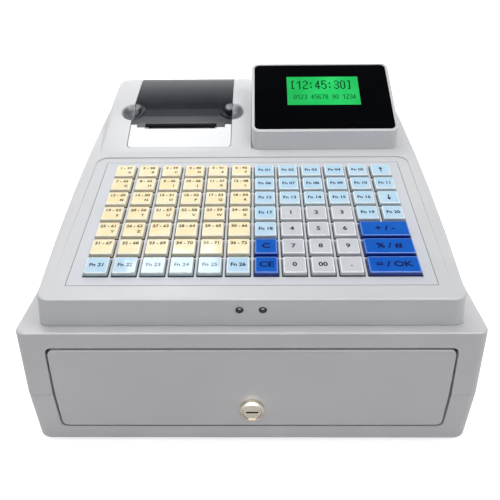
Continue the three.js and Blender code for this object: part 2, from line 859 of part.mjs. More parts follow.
function makeKickSpring() {
  const rearWall = cabinetDepth + draft(kickHeight) - cabinetWall;
  const start = trayBack + fitGap + kickWire;
  const end = rearWall - fitGap - kickWire;
  const section = shapeOf(range(kickSides).map((side) => {
    const angle = side / kickSides * 2 * Math.PI;
    return [kickWire * Math.cos(angle), kickWire * Math.sin(angle)];
  }));
  return new THREE.ExtrudeGeometry(section, {
    steps: kickTurnCount * kickStepsPerTurn,
    bevelEnabled: false,
    extrudePath: new Helix(kickRadius, start, end, kickTurnCount, kickOffset, kickHeight),
  });
}

addPiece('latch_lever', makeLatchLever(), finishes.steel);
addPiece('latch_solenoid', makeSolenoid(), finishes.steel);
addPiece('solenoid_plunger', makePlunger(), finishes.nickel);
addPiece('kick_spring', makeKickSpring(), finishes.steel);

// Top housing: one hollow moulding with the sloped deck, the printer hump and the paper bay.

const rimCrown = housingBack - rimCrownSetback;
const sideFront = housingSetback + housingCorner;
const sideBack = housingBack - housingCorner;

// The top line of the rim from front to back, seen from the side.
function rimLine(inset) {
  const drop = inset / Math.cos(deckTilt);
  const back = housingBack - inset;
  const path = new THREE.Path();
  path.moveTo(housingSetback + inset, rimZ(housingSetback + inset) - drop);
  path.lineTo(rimCrown, rimZ(rimCrown) - drop);
  path.quadraticCurveTo(back, rimZ(back) - drop, back, rimZ(back) - drop - housingRearRound);
  return path.getPoints(cornerSteps);
}

// Height of a line of points, from front to back, at a place on it.
function heightOn(line, y) {
  const place = Math.min(y, line.at(-1).x);
  const next = Math.max(line.findIndex((point) => point.x >= place), 1);
  const [a, b] = [line[next - 1], line[next]];
  return a.y + (place - a.x) / (b.x - a.x) * (b.y - a.y);
}

const sidePlaces = [
  ...range(sideSteps).map((step) => sideFront + step / sideSteps * (rimCrown - sideFront)),
  ...rimLine(0).map((point) => point.x).filter((y) => y >= rimCrown && y < sideBack),
  sideBack,
];

// The right half of the housing's outline seen from above, from front to back.
function housingSide(inset, flare) {
  const half = housingHalf + flare - inset;
  const rearHalf = half - housingTaper;
  const bulge = (half + rearHalf) / 2 + 2 * housingBulge;
  const corner = housingCorner - inset;
  const side = sidePlaces.map((y) => {
    const share = (y - sideFront) / (sideBack - sideFront);
    return [(1 - share) ** 2 * half + 2 * share * (1 - share) * bulge + share ** 2 * rearHalf, y];
  });
  const round = (x, y, quarter) => range(cornerSteps + 1).map((step) => {
    const angle = (quarter + step / cornerSteps) * Math.PI / 2;
    return [x + corner * Math.cos(angle), y + corner * Math.sin(angle)];
  });
  return [...round(half - corner, sideFront, -1).slice(0, -1), ...side,
    ...round(rearHalf - corner, sideBack, 0).slice(1)];
}

function housingRing(inset, flare, rake, height) {
  const right = housingSide(inset, flare).map(([x, y]) => {
    const back = rake * Math.max(sideFront - y, 0) / housingCorner;
    return new THREE.Vector3(x, y + back, height(y));
  });
  return [...right, ...right.map(({ x, y, z }) => new THREE.Vector3(-x, y, z)).reverse()];
}

// The housing's body without its hump, rounded all along its top edge.
function makeHousingBody() {
  const line = rimLine(0);
  const edge = range(edgeSteps + 1).map((step) => {
    const angle = step / edgeSteps * Math.PI / 2;
    const inset = rimRound * (1 - Math.cos(angle));
    return housingRing(inset, 0, 0, (y) => heightOn(line, y) - rimRound * (1 - Math.sin(angle)));
  });
  return pairedLoft([housingRing(0, housingFlare, housingRake, () => housingBase), ...edge]);
}

function makeHousingHollow() {
  const line = rimLine(housingWall);
  return pairedLoft([
    housingRing(housingWall, housingFlare, housingRake, () => housingBase - cutOverrun),
    housingRing(housingWall, 0, 0, (y) => heightOn(line, y)),
  ]);
}

// The hump's top line from its front foot to the back face.
function humpLine() {
  const path = new THREE.Path();
  const blendStart = rampTopY - rampBlend;
  path.moveTo(humpFront, humpFrontZ);
  path.lineTo(blendStart, rampTopZ - rampBlend * Math.tan(rampTilt));
  path.quadraticCurveTo(rampTopY, rampTopZ, crestY, crestZ);
  path.quadraticCurveTo(housingBack, crestZ + crestLift, housingBack, crestZ + crestLift - crestDrop);
  return path.getPoints(cornerSteps);
}

const humpPoints = humpLine();

function humpZ(y) {
  return heightOn(humpPoints, y);
}

function humpSection(y, z, inset) {
  const [left, right] = [humpLeft + inset, humpRight - inset];
  const low = inset > 0 ? housingBase - cutOverrun : housingBase;
  const radius = Math.min(humpEdge, humpFrontEdge + Math.max(z - rimZ(y), 0));
  const edge = range(edgeSteps + 1).map((step) => {
    const angle = (1 + step / edgeSteps) * Math.PI / 2;
    return [left + radius * (1 + Math.cos(angle)), z + radius * (Math.sin(angle) - 1)];
  });
  const outline = [[left, low], [right, low], [right, z], ...edge];
  return outline.map(([x, height]) => new THREE.Vector3(x, y, height));
}

function makeHump() {
  const rings = humpPoints.map((point) => humpSection(point.x, point.y, 0).reverse());
  return loft(rings);
}

function makeHumpHollow() {
  const drop = lidThickness + fitGap + humpLedge;
  const points = humpPoints.filter((point) => point.x < housingBack - housingWall);
  const places = [...points, new THREE.Vector2(housingBack - housingWall, points.at(-1).y)];
  const last = places.at(-1);
  last.y = humpZ(last.x);
  const rings = places.map((point) => humpSection(point.x, point.y - drop, housingWall).reverse());
  return loft(rings);
}

// A strip of the hump's skin between two places, from one height over it to one under it.
function humpStrip(y0, y1, over, under) {
  const between = humpPoints.filter((point) => point.x > y0 && point.x < y1);
  const line = [[y0, humpZ(y0)], ...between.map((point) => [point.x, point.y]), [y1, humpZ(y1)]];
  const top = line.map(([y, z]) => [y, z + over]);
  const bottom = line.map(([y, z]) => [y, z - under]).reverse();
  return shapeOf([...bottom, ...top]);
}

const hingeZ = humpZ(hingeY) - lidKnuckleRadius;
const bayHalf = rollWidth / 2 + rollBackRoom;
const bayMiddle = (lidLeft + lidRight) / 2;
const lidEdgeOuter = slotBack - lidSlotRecess;
const lidEdgeTab = lidEdgeOuter - lidTabLength;

// The two finger dishes, half in the lid and half beside it, or their walls when grown.
function makeDishes(grow) {
  const y = slotBack + dishSetback;
  const tilt = Math.atan((humpZ(y + dishRadius) - humpZ(y - dishRadius)) / 2 / dishRadius);
  const radius = (dishRadius ** 2 + dishSink ** 2) / 2 / dishSink;
  const lift = radius - dishSink;
  return [lidLeft, lidRight].map((x) => {
    const ball = new THREE.SphereGeometry(radius + grow, 2 * roundSides, roundSides);
    return ball.scale(1, dishLengthShare, 1)
      .translate(x, y - lift * Math.sin(tilt), humpZ(y) + lift * Math.cos(tilt));
  });
}

// The room under the hump's skin that belongs to the lid, wider than it by a gap on each side.
function underLid(gap) {
  return common(
    prismX(humpStrip(lidEdgeTab, hingeY, 0, humpLedge + 2 * dishSink), lidLeft - gap, lidRight + gap),
    makeHump(),
  );
}

// Everything below the top of the recess that the lid and the flap lie in.
function makeLidRecess() {
  const x0 = lidLeft - fitGap;
  const x1 = lidRight + fitGap;
  const strip = prismX(humpStrip(flapFront, hingeY, cutOverrun, lidThickness + fitGap), x0, x1);
  const frontPlan = roundedRectangle(x0, x1, flapFront, hingeY + flapCorner, flapCorner);
  const plan = prismZ(frontPlan, housingBase, crestZ + cutOverrun);
  const knuckleGap = lidKnuckleRadius + slideGap;
  const pocket = rodX(knuckleGap, x0, x1, hingeY, hingeZ);
  const mouth = box(x0, x1, hingeY - knuckleGap, hingeY + knuckleGap, hingeZ, crestZ + cutOverrun);
  return join(common(strip, plan), pocket, mouth);
}

function makeTopHousing() {
  const deckFrame = deck.matrix;
  const inDeck = (geometry) => geometry.applyMatrix4(deckFrame);
  const bodyHeight = crestZ + cutOverrun;
  const ledgeBottom = -(plateThickness + fitGap + plateLedgeThickness);
  const ledgeHalf = plateHalf + plateReveal + plateLedge;
  const ledge = inDeck(box(plateOffset - ledgeHalf, plateOffset + ledgeHalf,
    plateFront - plateReveal - plateLedge / 2, plateBack + plateReveal + plateLedge / 2,
    ledgeBottom, -housingWall / 2));
  const bay = common(
    box(bayMiddle - bayHalf - bayWall, bayMiddle + bayHalf + bayWall, bayFront - bayWall,
      bayBack + bayWall, housingBase, bodyHeight),
    makeHump(),
  );
  const pinLeft = lidLeft - fitGap - pinBoss;
  const pinRight = lidRight + fitGap + pinBoss;
  const trough = common(
    rodX(lidKnuckleRadius + slideGap + bayWall, pinLeft, pinRight, hingeY, hingeZ),
    makeHump(),
  );
  const skin = cut(join(makeHousingBody(), makeHump()), makeHousingHollow(), makeHumpHollow());
  const pockets = common(join(...makeDishes(2 * dishWall + slideGap)), makeHump());
  const shell = join(skin, ledge, bay, trough, pockets);
  const lidPockets = common(join(...makeDishes(dishWall + slideGap)), underLid(fitGap));

  const panel = inDeck(prismZ(roundedRectangle(-panelHalf, panelHalf, plateFront - panelMarginFront,
    panelBack, panelCorner), 0, cutOverrun));
  const openHalf = plateHalf + plateReveal;
  const opening = inDeck(box(plateOffset - openHalf, plateOffset + openHalf, plateFront - plateReveal,
    plateBack + plateReveal, -plateThickness - fitGap, cutOverrun));
  const throatHalf = plateHalf - plateLedge;
  const throat = inDeck(box(plateOffset - throatHalf, plateOffset + throatHalf, plateFront + plateLedge,
    plateBack - plateLedge, ledgeBottom - cutOverrun, cutOverrun));
  const bayHollow = box(bayMiddle - bayHalf, bayMiddle + bayHalf, bayFront, bayBack, bayFloor, bodyHeight);
  const pinBore = rodX(lidPinRadius + fitGap, pinLeft - cutOverrun, pinRight + cutOverrun, hingeY, hingeZ,
    smallSides);
  const lampBores = lampPlaces.map((x) => rodY(lampRadius + fitGap, housingSetback - cutOverrun,
    housingSetback + housingWall + cutOverrun, x, cabinetHeight + lampHeight, smallSides));
  const jackHole = box(jackMiddle - jackWidth / 2 - fitGap, jackMiddle + jackWidth / 2 + fitGap,
    housingBack - housingWall - cutOverrun, housingBack + cutOverrun, jackLow - fitGap,
    jackLow + jackHeight + fitGap);
  return cut(shell, panel, opening, throat, bayHollow, makeLidRecess(), ...makeDishes(0), lidPockets,
    pinBore, ...lampBores, jackHole);
}

const lampPlaces = [-1, 1].map((side) => plateOffset + side * lampSpacing / 2);
const podLeft = humpRight + slideGap;
const podRight = housingHalf - podShoulder;
const boardTop = cabinetHeight + fitGap + mainBoardStandoff + boardThickness;
const jackMiddle = podLeft + jackShare * (podRight - podLeft);
const jackLow = boardTop + fitGap;

addPiece('top_housing', makeTopHousing(), finishes.housing);

function makeStatusLamp(x) {
  const dome = range(edgeSteps + 1).map((step) => {
    const angle = step / edgeSteps * Math.PI / 2;
    return [lampRadius * Math.sin(angle), lampRadius * (1 - Math.cos(angle))];
  });
  const profile = [...dome, [lampRadius, lampLength], [0, lampLength]];
  const points = profile.map(([r, y]) => new THREE.Vector2(r, y));
  return new THREE.LatheGeometry(points, roundSides).translate(x, housingSetback - lampProud,
    cabinetHeight + lampHeight);
}

addPiece('status_lamp_left', makeStatusLamp(lampPlaces[0]), finishes.lamp);
addPiece('status_lamp_right', makeStatusLamp(lampPlaces[1]), finishes.lamp);

// Keyboard: plate with one hole a key, board under it and the keys, all in the deck's frame.

const gridLeft = plateOffset - plateHalf + plateMarginLeft;
const gridBack = plateBack - plateMarginBack;

function keyPlace(column, row, columns = 1) {
  return {
    x: gridLeft + (column - 1 + columns / 2) * keyPitch,
    y: gridBack - (row - 1 / 2) * keyPitch,
    columns,
  };
}

const wideKeyRows = range(wideKeyCount).map((step) => keyRows - step).reverse();

function isWide(column, row) {
  return column > keyColumns - 2 && wideKeyRows.includes(row);
}

function rectangleAt({ x, y }, width, depth) {
  return [x - width / 2, x + width / 2, y - depth / 2, y + depth / 2];
}

function keyRing(place, width, depth, z) {
  const stretch = (place.columns - 1) * keyPitch;
  const [x0, x1, y0, y1] = rectangleAt(place, width + stretch, depth);
  return [[x1, y1], [x0, y1], [x0, y0], [x1, y0]].map(([x, y]) => new THREE.Vector3(x, y, z));
}

const skirtWidth = keyPitch - ribWidth - 2 * slideGap;
const skirtDepth = keyPitch - rowRibWidth - 2 * slideGap;

function makeKey(place) {
  return loft([
    keyRing(place, skirtWidth, skirtDepth, -keyStem),
    keyRing(place, skirtWidth, skirtDepth, keyShoulder),
    keyRing(place, keyTopWidth + keyBevel, keyTopDepth + keyBevel, keyHeight - keyBevel),
    keyRing(place, keyTopWidth, keyTopDepth, keyHeight),
  ]);
}

// Keys that share one carrier: a web under the plate joins them.
function makeKeyBank(places, webs) {
  const reach = webReachShare * keyPitch;
  const strips = webs.map(([first, last]) => box(first.x - reach, last.x + reach, last.y - reach,
    first.y + reach, -keyStem, webThickness - keyStem));
  return join(...places.map(makeKey), ...strips);
}

function grid(columns, rows) {
  return rows.flatMap((row) => columns.map((column) => keyPlace(column, row)));
}

function span(first, last) {
  return range(last - first + 1).map((step) => first + step);
}

function makeKeyboardPlate() {
  const rows = span(1, keyRows);
  const single = rows.flatMap((row) => span(1, keyColumns)
    .filter((column) => !isWide(column, row))
    .map((column) => keyPlace(column, row)));
  const wide = wideKeyRows.map((row) => keyPlace(keyColumns - 1, row, 2));
  const holes = [...single, ...wide].map((place) => {
    const stretch = (place.columns - 1) * keyPitch;
    return box(...rectangleAt(place, keyPitch - ribWidth + stretch, keyPitch - rowRibWidth),
      -plateThickness - cutOverrun, cutOverrun);
  });
  const plate = cut(box(plateOffset - plateHalf, plateOffset + plateHalf, plateFront, plateBack,
    -plateThickness, 0), ...holes);
  const bossX = plateBossShare * plateHalf;
  const bossInset = plateLedge + plateBossRadius + slideGap;
  const bosses = [-1, 1].flatMap((side) => [plateFront + bossInset, plateBack - bossInset]
    .map((y) => rodZ(plateBossRadius, keyboardBoardTop + fitGap, -plateThickness / 2,
      plateOffset + side * bossX, y, smallSides)));
  return join(plate, ...bosses);
}

const keyboardBoardTop = -(keyStem + keyTravel + fitGap);

function makeKeyboardBoard() {
  const half = plateHalf - plateLedge - slideGap;
  return box(plateOffset - half, plateOffset + half, plateFront + plateLedge + slideGap,
    plateBack - plateLedge - slideGap, keyboardBoardTop - boardThickness, keyboardBoardTop);
}

addPiece('keyboard_plate', makeKeyboardPlate(), finishes.plate, deck);
addPiece('keyboard_board', makeKeyboardBoard(), finishes.board, deck);

const creamPlaces = grid(span(1, 6), span(1, 6));
addPiece('cream_key_bank', makeKeyBank(creamPlaces, [
  [keyPlace(1, 1), keyPlace(6, 6)],
]), finishes.creamKey, deck);

const lowerSkyPlaces = grid(span(1, 6), [7]);
addPiece('sky_key_row', makeKeyBank(lowerSkyPlaces, [
  [keyPlace(1, 7), keyPlace(6, 7)],
]), finishes.skyKey, deck);

const upperSkyPlaces = [...grid(span(7, 12), span(1, 3)), ...grid([7], [4, 5]), ...grid([11, 12], [4])];
addPiece('sky_key_bank', makeKeyBank(upperSkyPlaces, [
  [keyPlace(7, 1), keyPlace(12, 3)],
  [keyPlace(7, 3), keyPlace(7, 5)],
  [keyPlace(11, 3), keyPlace(12, 4)],
]), finishes.skyKey, deck);

const numberKeys = [
  ['key_1', 8, 4], ['key_2', 9, 4], ['key_3', 10, 4],
  ['key_4', 8, 5], ['key_5', 9, 5], ['key_6', 10, 5],
  ['key_7', 8, 6], ['key_8', 9, 6], ['key_9', 10, 6],
  ['key_0', 8, 7], ['key_00', 9, 7], ['key_point', 10, 7],
];
numberKeys.forEach(([name, column, row]) => {
  addPiece(name, makeKey(keyPlace(column, row)), finishes.greyKey, deck);
});

const blueKeys = [
  ['blue_key_upper', 7, 6, 1],
  ['blue_key_lower', 7, 7, 1],
  ['wide_key_upper', 11, 5, 2],
  ['wide_key_middle', 11, 6, 2],
  ['wide_key_lower', 11, 7, 2],
];
blueKeys.forEach(([name, column, row, columns]) => {
  addPiece(name, makeKey(keyPlace(column, row, columns)), finishes.blueKey, deck);
});

// Printer: flap, lid on its hinge pin, mechanism, platen roller and paper roll.

// The edge that the flap and the lid share, seen from above, moved by a shift in Y.
function sharedEdge(shift) {
  const tabLeft = lidLeft + lidEndTab;
  const slotLeft = tabLeft + lidSlotTab;
  const tabRight = lidRight - lidEndTab;
  const slotRight = tabRight - lidSlotTab;
  return {
    outer: [[lidLeft, lidEdgeOuter + shift], [tabLeft, lidEdgeOuter + shift], [tabLeft, lidEdgeTab + shift],
      [slotLeft, lidEdgeTab + shift]],
    mirror: [[slotRight, lidEdgeTab + shift], [tabRight, lidEdgeTab + shift],
      [tabRight, lidEdgeOuter + shift], [lidRight, lidEdgeOuter + shift]],
    slotLeft,
    slotRight,
  };
}

function makeFlap() {
  const edge = sharedEdge(-fitGap);
  const front = flapFront + flapReveal;
  const left = lidLeft + fitGap;
  const right = lidRight - fitGap;
  const outline = [
    [left, front],
    [right, front],
    ...[...edge.mirror].reverse(),
    [edge.slotRight, slotFront],
    [edge.slotLeft, slotFront],
    ...[...edge.outer].reverse(),
  ];
  const rounded = roundedRectangle(left, right, front, slotBack + flapCorner, flapCorner);
  const high = crestZ + cutOverrun;
  return common(
    prismX(humpStrip(front, slotBack, 0, lidThickness), left, right),
    prismZ(shapeOf(outline), housingBase, high),
    prismZ(rounded, housingBase, high),
  );
}

function makeLid() {
  const edge = sharedEdge(0);
  const left = lidLeft + fitGap;
  const right = lidRight - fitGap;
  const outline = [
    ...edge.outer,
    [edge.slotLeft, slotBack],
    [edge.slotRight, slotBack],
    ...edge.mirror,
    [lidRight, hingeY],
    [lidLeft, hingeY],
  ];
  const skin = common(
    prismX(humpStrip(lidEdgeTab - fitGap, hingeY, 0, lidThickness), left, right),
    prismZ(shapeOf(outline), housingBase, crestZ + cutOverrun),
  );
  const knuckle = rodX(lidKnuckleRadius, left, right, hingeY, hingeZ);
  const bore = rodX(lidPinRadius + fitGap, left - cutOverrun, right + cutOverrun, hingeY, hingeZ,
    smallSides);
  const cups = common(join(...makeDishes(dishWall)), underLid(-fitGap));
  return cut(join(skin, knuckle, cups), ...makeDishes(0), bore);
}

function makeLidPin() {
  return rodX(lidPinRadius, lidLeft - pinBoss, lidRight + pinBoss, hingeY, hingeZ, smallSides);
}

const mechanismHalf = bayHalf - fitGap;
const platenZ = humpZ(platenY) - platenDrop;
const platenHalf = mechanismHalf - cheekThickness - slideGap;

function makeMechanism() {
  const low = bayFloor + fitGap;
  const back = platenY + cheekDepth / 2;
  const front = bayFront + fitGap;
  const roof = (y) => humpZ(y) - lidThickness - humpLedge;
  const cheekFront = platenY - cheekDepth / 2;
  const cheekOutline = shapeOf([[front, low], [back, low], [back, platenZ + platenRadius],
    [cheekFront, Math.min(roof(cheekFront), platenZ + platenRadius)], [front, roof(front)]]);
  const cheeks = [-1, 1].map((side) => {
    const middle = bayMiddle + side * (mechanismHalf - cheekThickness / 2);
    return prismX(cheekOutline, middle - cheekThickness / 2, middle + cheekThickness / 2);
  });
  const foot = box(bayMiddle - mechanismHalf, bayMiddle + mechanismHalf, front, back, low,
    low + mechanismFoot);
  const headBack = platenY - platenRadius - slideGap;
  const head = box(bayMiddle - mechanismHalf, bayMiddle + mechanismHalf, headBack - headThickness, headBack,
    low, platenZ);
  const bore = rodX(platenAxleRadius + fitGap, bayMiddle - bayHalf, bayMiddle + bayHalf, platenY, platenZ,
    smallSides);
  return cut(join(foot, head, ...cheeks), bore);
}

function makePlaten() {
  const drum = rodX(platenRadius, bayMiddle - platenHalf, bayMiddle + platenHalf, platenY, platenZ);
  const axle = rodX(platenAxleRadius, bayMiddle - mechanismHalf, bayMiddle + mechanismHalf, platenY,
    platenZ, smallSides);
  return join(drum, axle);
}

function makePaperRoll() {
  const rollZ = bayFloor + fitGap + rollRadius;
  const half = rollWidth / 2;
  const roll = rodX(rollRadius, bayMiddle - half, bayMiddle + half, rollY, rollZ, 2 * roundSides);
  const bore = rodX(rollBore, bayMiddle - rollWidth, bayMiddle + rollWidth, rollY, rollZ);
  return cut(roll, bore);
}

addPiece('printer_flap', makeFlap(), finishes.housing);
addPiece('printer_lid', makeLid(), finishes.smoked);
addPiece('lid_pin', makeLidPin(), finishes.steel);
addPiece('print_mechanism', makeMechanism(), finishes.black);
addPiece('platen_roller', makePlaten(), finishes.rubber);
addPiece('paper_roll', makePaperRoll(), finishes.paper);

// Display pod on the deck, with its window and the liquid crystal module behind it.

const podFront = panelBackY + podSetback;
const podFaceTop = rimZ(podFront) + podFaceHeight;
const podTopY = podFront + podSlopeLength * Math.cos(podTilt);
const podTopZ = podFaceTop + podSlopeLength * Math.sin(podTilt);
const podBack = podTopY + podBackDepth;
podSlope.position.set(0, podFront, podFaceTop);
podSlope.rotation.x = podTilt;
podSlope.updateMatrix();

function podOutline(inset, slopeInset) {
  const front = podFront + inset;
  const topY = podTopY - inset;
  const slopeZ = (y) => podFaceTop + (y - podFront) * Math.tan(podTilt) - slopeInset / Math.cos(podTilt);
  const low = inset > 0 ? -cutOverrun : fitGap;
  return shapeOf([
    [front, rimZ(front) + low],
    [podBack - inset, rimZ(podBack - inset) + low],
    [topY + podCrown, podTopZ - podCrown / 2 - slopeInset],
    [topY, slopeZ(topY)],
    [front, slopeZ(front)],
  ]);
}

// The pod's outline seen square to its slope, round at the two corners behind.
function podPlan(inset) {
  const corner = podCorner + podCrown / 2 - inset;
  return roundedRectangle(podLeft + inset, podRight - inset, -podSlopeLength,
    podSlopeLength + podCrown / 2 - inset, corner);
}

const windowLeft = podLeft + bezelSide;
const windowRight = podRight - bezelSide;
const lcdMiddle = (windowLeft + windowRight) / 2 + lcdOffset;

function makeDisplayPod() {
  const high = podTopZ + cutOverrun;
  const inSlope = (geometry) => geometry.applyMatrix4(podSlope.matrix);
  const outer = common(
    prismX(podOutline(0, 0), podLeft, podRight),
    prismZ(roundedRectangle(podLeft, podRight, podFront, podBack, podCorner), housingBase, high),
    inSlope(prismZ(podPlan(0), -high, cutOverrun)),
  );
  const hollow = common(
    prismX(podOutline(podWall, podSlopeWall), podLeft + podWall, podRight - podWall),
    prismZ(roundedRectangle(podLeft + podWall, podRight - podWall, podFront + podWall, podBack - podWall,
      podCorner - podWall), housingBase, high),
    inSlope(prismZ(podPlan(podWall), -high, cutOverrun)),
  );
  const seat = inSlope(prismZ(roundedRectangle(windowLeft - fitGap, windowRight + fitGap,
    bezelFront - fitGap, podSlopeLength - bezelTop + fitGap, windowCorner + fitGap),
  -windowSink - windowThickness - fitGap, cutOverrun));
  const moduleHalf = lcdWidth / 2 + lcdFrame + fitGap;
  const lcdHole = inSlope(box(lcdMiddle - moduleHalf, lcdMiddle + moduleHalf,
    lcdSetback - lcdFrame - fitGap, lcdSetback + lcdHeight + lcdFrame + fitGap,
    -podSlopeWall - lcdThickness, 0));
  return cut(outer, hollow, seat, lcdHole);
}

function makeWindow() {
  return prismZ(roundedRectangle(windowLeft, windowRight, bezelFront, podSlopeLength - bezelTop,
    windowCorner), -windowSink - windowThickness, -windowSink);
}

function makeLcdPanel() {
  const half = lcdWidth / 2 + lcdFrame;
  const top = -windowSink - windowThickness - fitGap;
  return box(lcdMiddle - half, lcdMiddle + half, lcdSetback - lcdFrame, lcdSetback + lcdHeight + lcdFrame,
    top - lcdThickness, top);
}

addPiece('display_pod', makeDisplayPod(), finishes.housing);
addPiece('display_window', makeWindow(), finishes.glass, podSlope);
addPiece('lcd_panel', makeLcdPanel(), finishes.lcd, podSlope);

// Main board on the cabinet's top, under the pod, with the power inlet at its back edge.

function makeMainBoard() {
  const left = podLeft + mainBoardMargin;
  const right = podRight - mainBoardMargin;
  const back = housingBack - housingWall - slideGap;
  const front = back - mainBoardDepth;
  const low = cabinetHeight + fitGap;
  const slab = box(left, right, front, back, boardTop - boardThickness, boardTop);
  const inset = 2 * standoffRadius;
  const posts = [left + inset, right - inset].flatMap((x) => [front + inset, back - inset]
    .map((y) => rodZ(standoffRadius, low, boardTop - boardThickness / 2, x, y, smallSides)));
  return join(slab, ...posts);
}

function makePowerJack() {
  const body = box(jackMiddle - jackWidth / 2, jackMiddle + jackWidth / 2, housingBack - jackLength,
    housingBack, jackLow, jackLow + jackHeight);
  const bore = rodY(jackBore, housingBack - jackBoreDepth, housingBack + cutOverrun, jackMiddle,
    jackLow + jackHeight / 2, 2 * roundSides);
  return cut(body, bore);
}

addPiece('main_board', makeMainBoard(), finishes.board);
addPiece('power_jack', makePowerJack(), finishes.black);

// The cabinet's frame in the model: on its feet, with the middle of its depth over the origin.
const rearmost = cabinetDepth + draft(partingHeight);
cabinet.position.set(0, -(bezelFront0 + rearmost) / 2, footHeight);

export default model;
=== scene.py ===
"""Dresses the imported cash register: finishes, key caps with their labels, display, light and camera."""

import json
import math

import bpy
import bmesh
from mathutils import Matrix, Vector

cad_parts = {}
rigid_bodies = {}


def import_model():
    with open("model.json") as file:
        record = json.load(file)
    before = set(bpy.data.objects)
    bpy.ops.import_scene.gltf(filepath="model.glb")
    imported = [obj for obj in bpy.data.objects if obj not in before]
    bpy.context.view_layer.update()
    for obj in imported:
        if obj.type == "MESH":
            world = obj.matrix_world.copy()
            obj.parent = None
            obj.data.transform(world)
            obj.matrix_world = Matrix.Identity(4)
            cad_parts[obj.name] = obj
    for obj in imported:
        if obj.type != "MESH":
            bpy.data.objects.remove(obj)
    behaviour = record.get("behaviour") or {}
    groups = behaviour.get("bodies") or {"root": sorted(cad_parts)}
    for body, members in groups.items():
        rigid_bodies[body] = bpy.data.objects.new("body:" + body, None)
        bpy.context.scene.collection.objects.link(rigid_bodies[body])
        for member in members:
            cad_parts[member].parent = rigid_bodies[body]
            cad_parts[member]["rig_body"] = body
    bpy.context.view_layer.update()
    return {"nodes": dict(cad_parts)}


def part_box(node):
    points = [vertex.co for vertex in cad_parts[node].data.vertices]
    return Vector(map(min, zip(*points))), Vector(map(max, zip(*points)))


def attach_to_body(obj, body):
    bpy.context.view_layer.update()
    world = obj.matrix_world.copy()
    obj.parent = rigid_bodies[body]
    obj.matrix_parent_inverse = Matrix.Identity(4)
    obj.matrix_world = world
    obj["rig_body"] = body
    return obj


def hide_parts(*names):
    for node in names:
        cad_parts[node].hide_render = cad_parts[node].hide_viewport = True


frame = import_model()
nodes = frame["nodes"]
MM = 0.001

# Keyboard deck: a plane with its origin in the middle of its front edge

DECK_ORIGIN = Vector((0, -152.78585 * MM, 123.3 * MM))
DECK_TILT = math.radians(10.905)
DECK = Matrix.Translation(DECK_ORIGIN) @ Matrix.Rotation(DECK_TILT, 4, "X")

KEY_COLUMNS, KEY_ROWS, KEY_PITCH = 12, 7, 19.05 * MM
KEYS_MIDDLE, LOWEST_ROW = 1 * MM, 29.575 * MM
FIRST_KEY_X = KEYS_MIDDLE - (KEY_COLUMNS - 1) / 2 * KEY_PITCH
FIRST_KEY_Y = LOWEST_ROW + (KEY_ROWS - 1) * KEY_PITCH

SKIRT_WIDTH, SKIRT_DEPTH = 16.35 * MM, 16.65 * MM
SKIRT_LOW, SHOULDER, CAP_TOP = -3.4 * MM, 0.7 * MM, 3.3 * MM
TOP_NARROW_X, TOP_NARROW_Y = 1.3 * MM, 1.1 * MM
CAP_CORNER, CAP_EDGE, CAP_SOFT_EDGE = 0.9 * MM, 0.45 * MM, 0.18 * MM
LABEL_RIM, LABEL_SINK, LABEL_WALL = 0.55 * MM, 0.12 * MM, 0.12 * MM
LEGEND_LIFT, LEGEND_BOLDNESS = 0.05 * MM, 0.034

PLATE_MIDDLE, PLATE_WIDTH = 0.35 * MM, 244.1 * MM
PLATE_FRONT, PLATE_BACK = 13.07 * MM, 160.05 * MM
# Painted shade: play, width and heights of a thin black strip in the gap round the keyboard plate.
SHADE_STRIP_PLAY, SHADE_STRIP_WIDTH = 0.02 * MM, 0.36 * MM
SHADE_STRIP_LOW, SHADE_STRIP_TOP = -1.6 * MM, -0.25 * MM

# Finger dishes in the housing, one at each side edge of the printer lid

LID_MIDDLE, LID_WIDTH = -63.7 * MM, 91 * MM
DISH_Y, DISH_Z = 64.965 * MM, 186.81 * MM
DISH_TILT = math.radians(17.888)
DISH_RADIUS, DISH_LIFT, DISH_SINK = 14.358 * MM, 8.858 * MM, 5.5 * MM
DISH_LENGTH_SHARE, DISH_FADE_SHARE = 1.18, 0.4
DISH_RIM_START, DISH_RIM_END = 0.15 * MM, 0.03 * MM

# Slope of the display pod: a plane with its origin in the middle of its front edge

POD_ORIGIN = Vector((0, 22.68585 * MM, 174.27199 * MM))
POD_TILT = math.radians(26.5)
POD = Matrix.Translation(POD_ORIGIN) @ Matrix.Rotation(POD_TILT, 4, "X")
LCD_LEFT, LCD_RIGHT, LCD_LOW, LCD_HIGH = 31.9 * MM, 96.9 * MM, 33.0 * MM, 69.8 * MM
GLASS_FACE = -0.4 * MM
PICTURE_FOOT, PICTURE_FACE, DOT_FACE = -0.05 * MM, 0.04 * MM, 0.07 * MM
GLOW_MIDDLE, GLOW_REACH = 72 * MM, 58.8 * MM

# Colours and node helpers

SCREEN_WHITE = 255
NOISE_LOW, NOISE_HIGH = 0.3, 0.7


def srgb(red, green, blue):
    """A colour written in 0 to 255 screen values, as the linear colour that a shader takes."""
    def linear(value):
        c = value / SCREEN_WHITE
        return c / 12.92 if c <= 0.04045 else ((c + 0.055) / 1.055) ** 2.4
    return (linear(red), linear(green), linear(blue), 1.0)


def shade(colour, factor):
    return tuple(c * factor for c in colour[:3]) + (1.0,)


def new_material(name):
    material = bpy.data.materials.new(name)
    material.use_nodes = True
    tree = material.node_tree
    return material, tree, tree.nodes["Principled BSDF"]


def add(tree, kind, **settings):
    node = tree.nodes.new(kind)
    for key, value in settings.items():
        setattr(node, key, value)
    return node


def feed(tree, socket, value):
    """Gives a socket a plain value, or links it to the output of another node."""
    if isinstance(value, bpy.types.NodeSocket):
        tree.links.new(value, socket)
    else:
        socket.default_value = value


def calc(tree, operation, *values):
    """The result of a Math node."""
    node = add(tree, "ShaderNodeMath", operation=operation)
    for socket, value in zip(node.inputs, values):
        feed(tree, socket, value)
    return node.outputs[0]


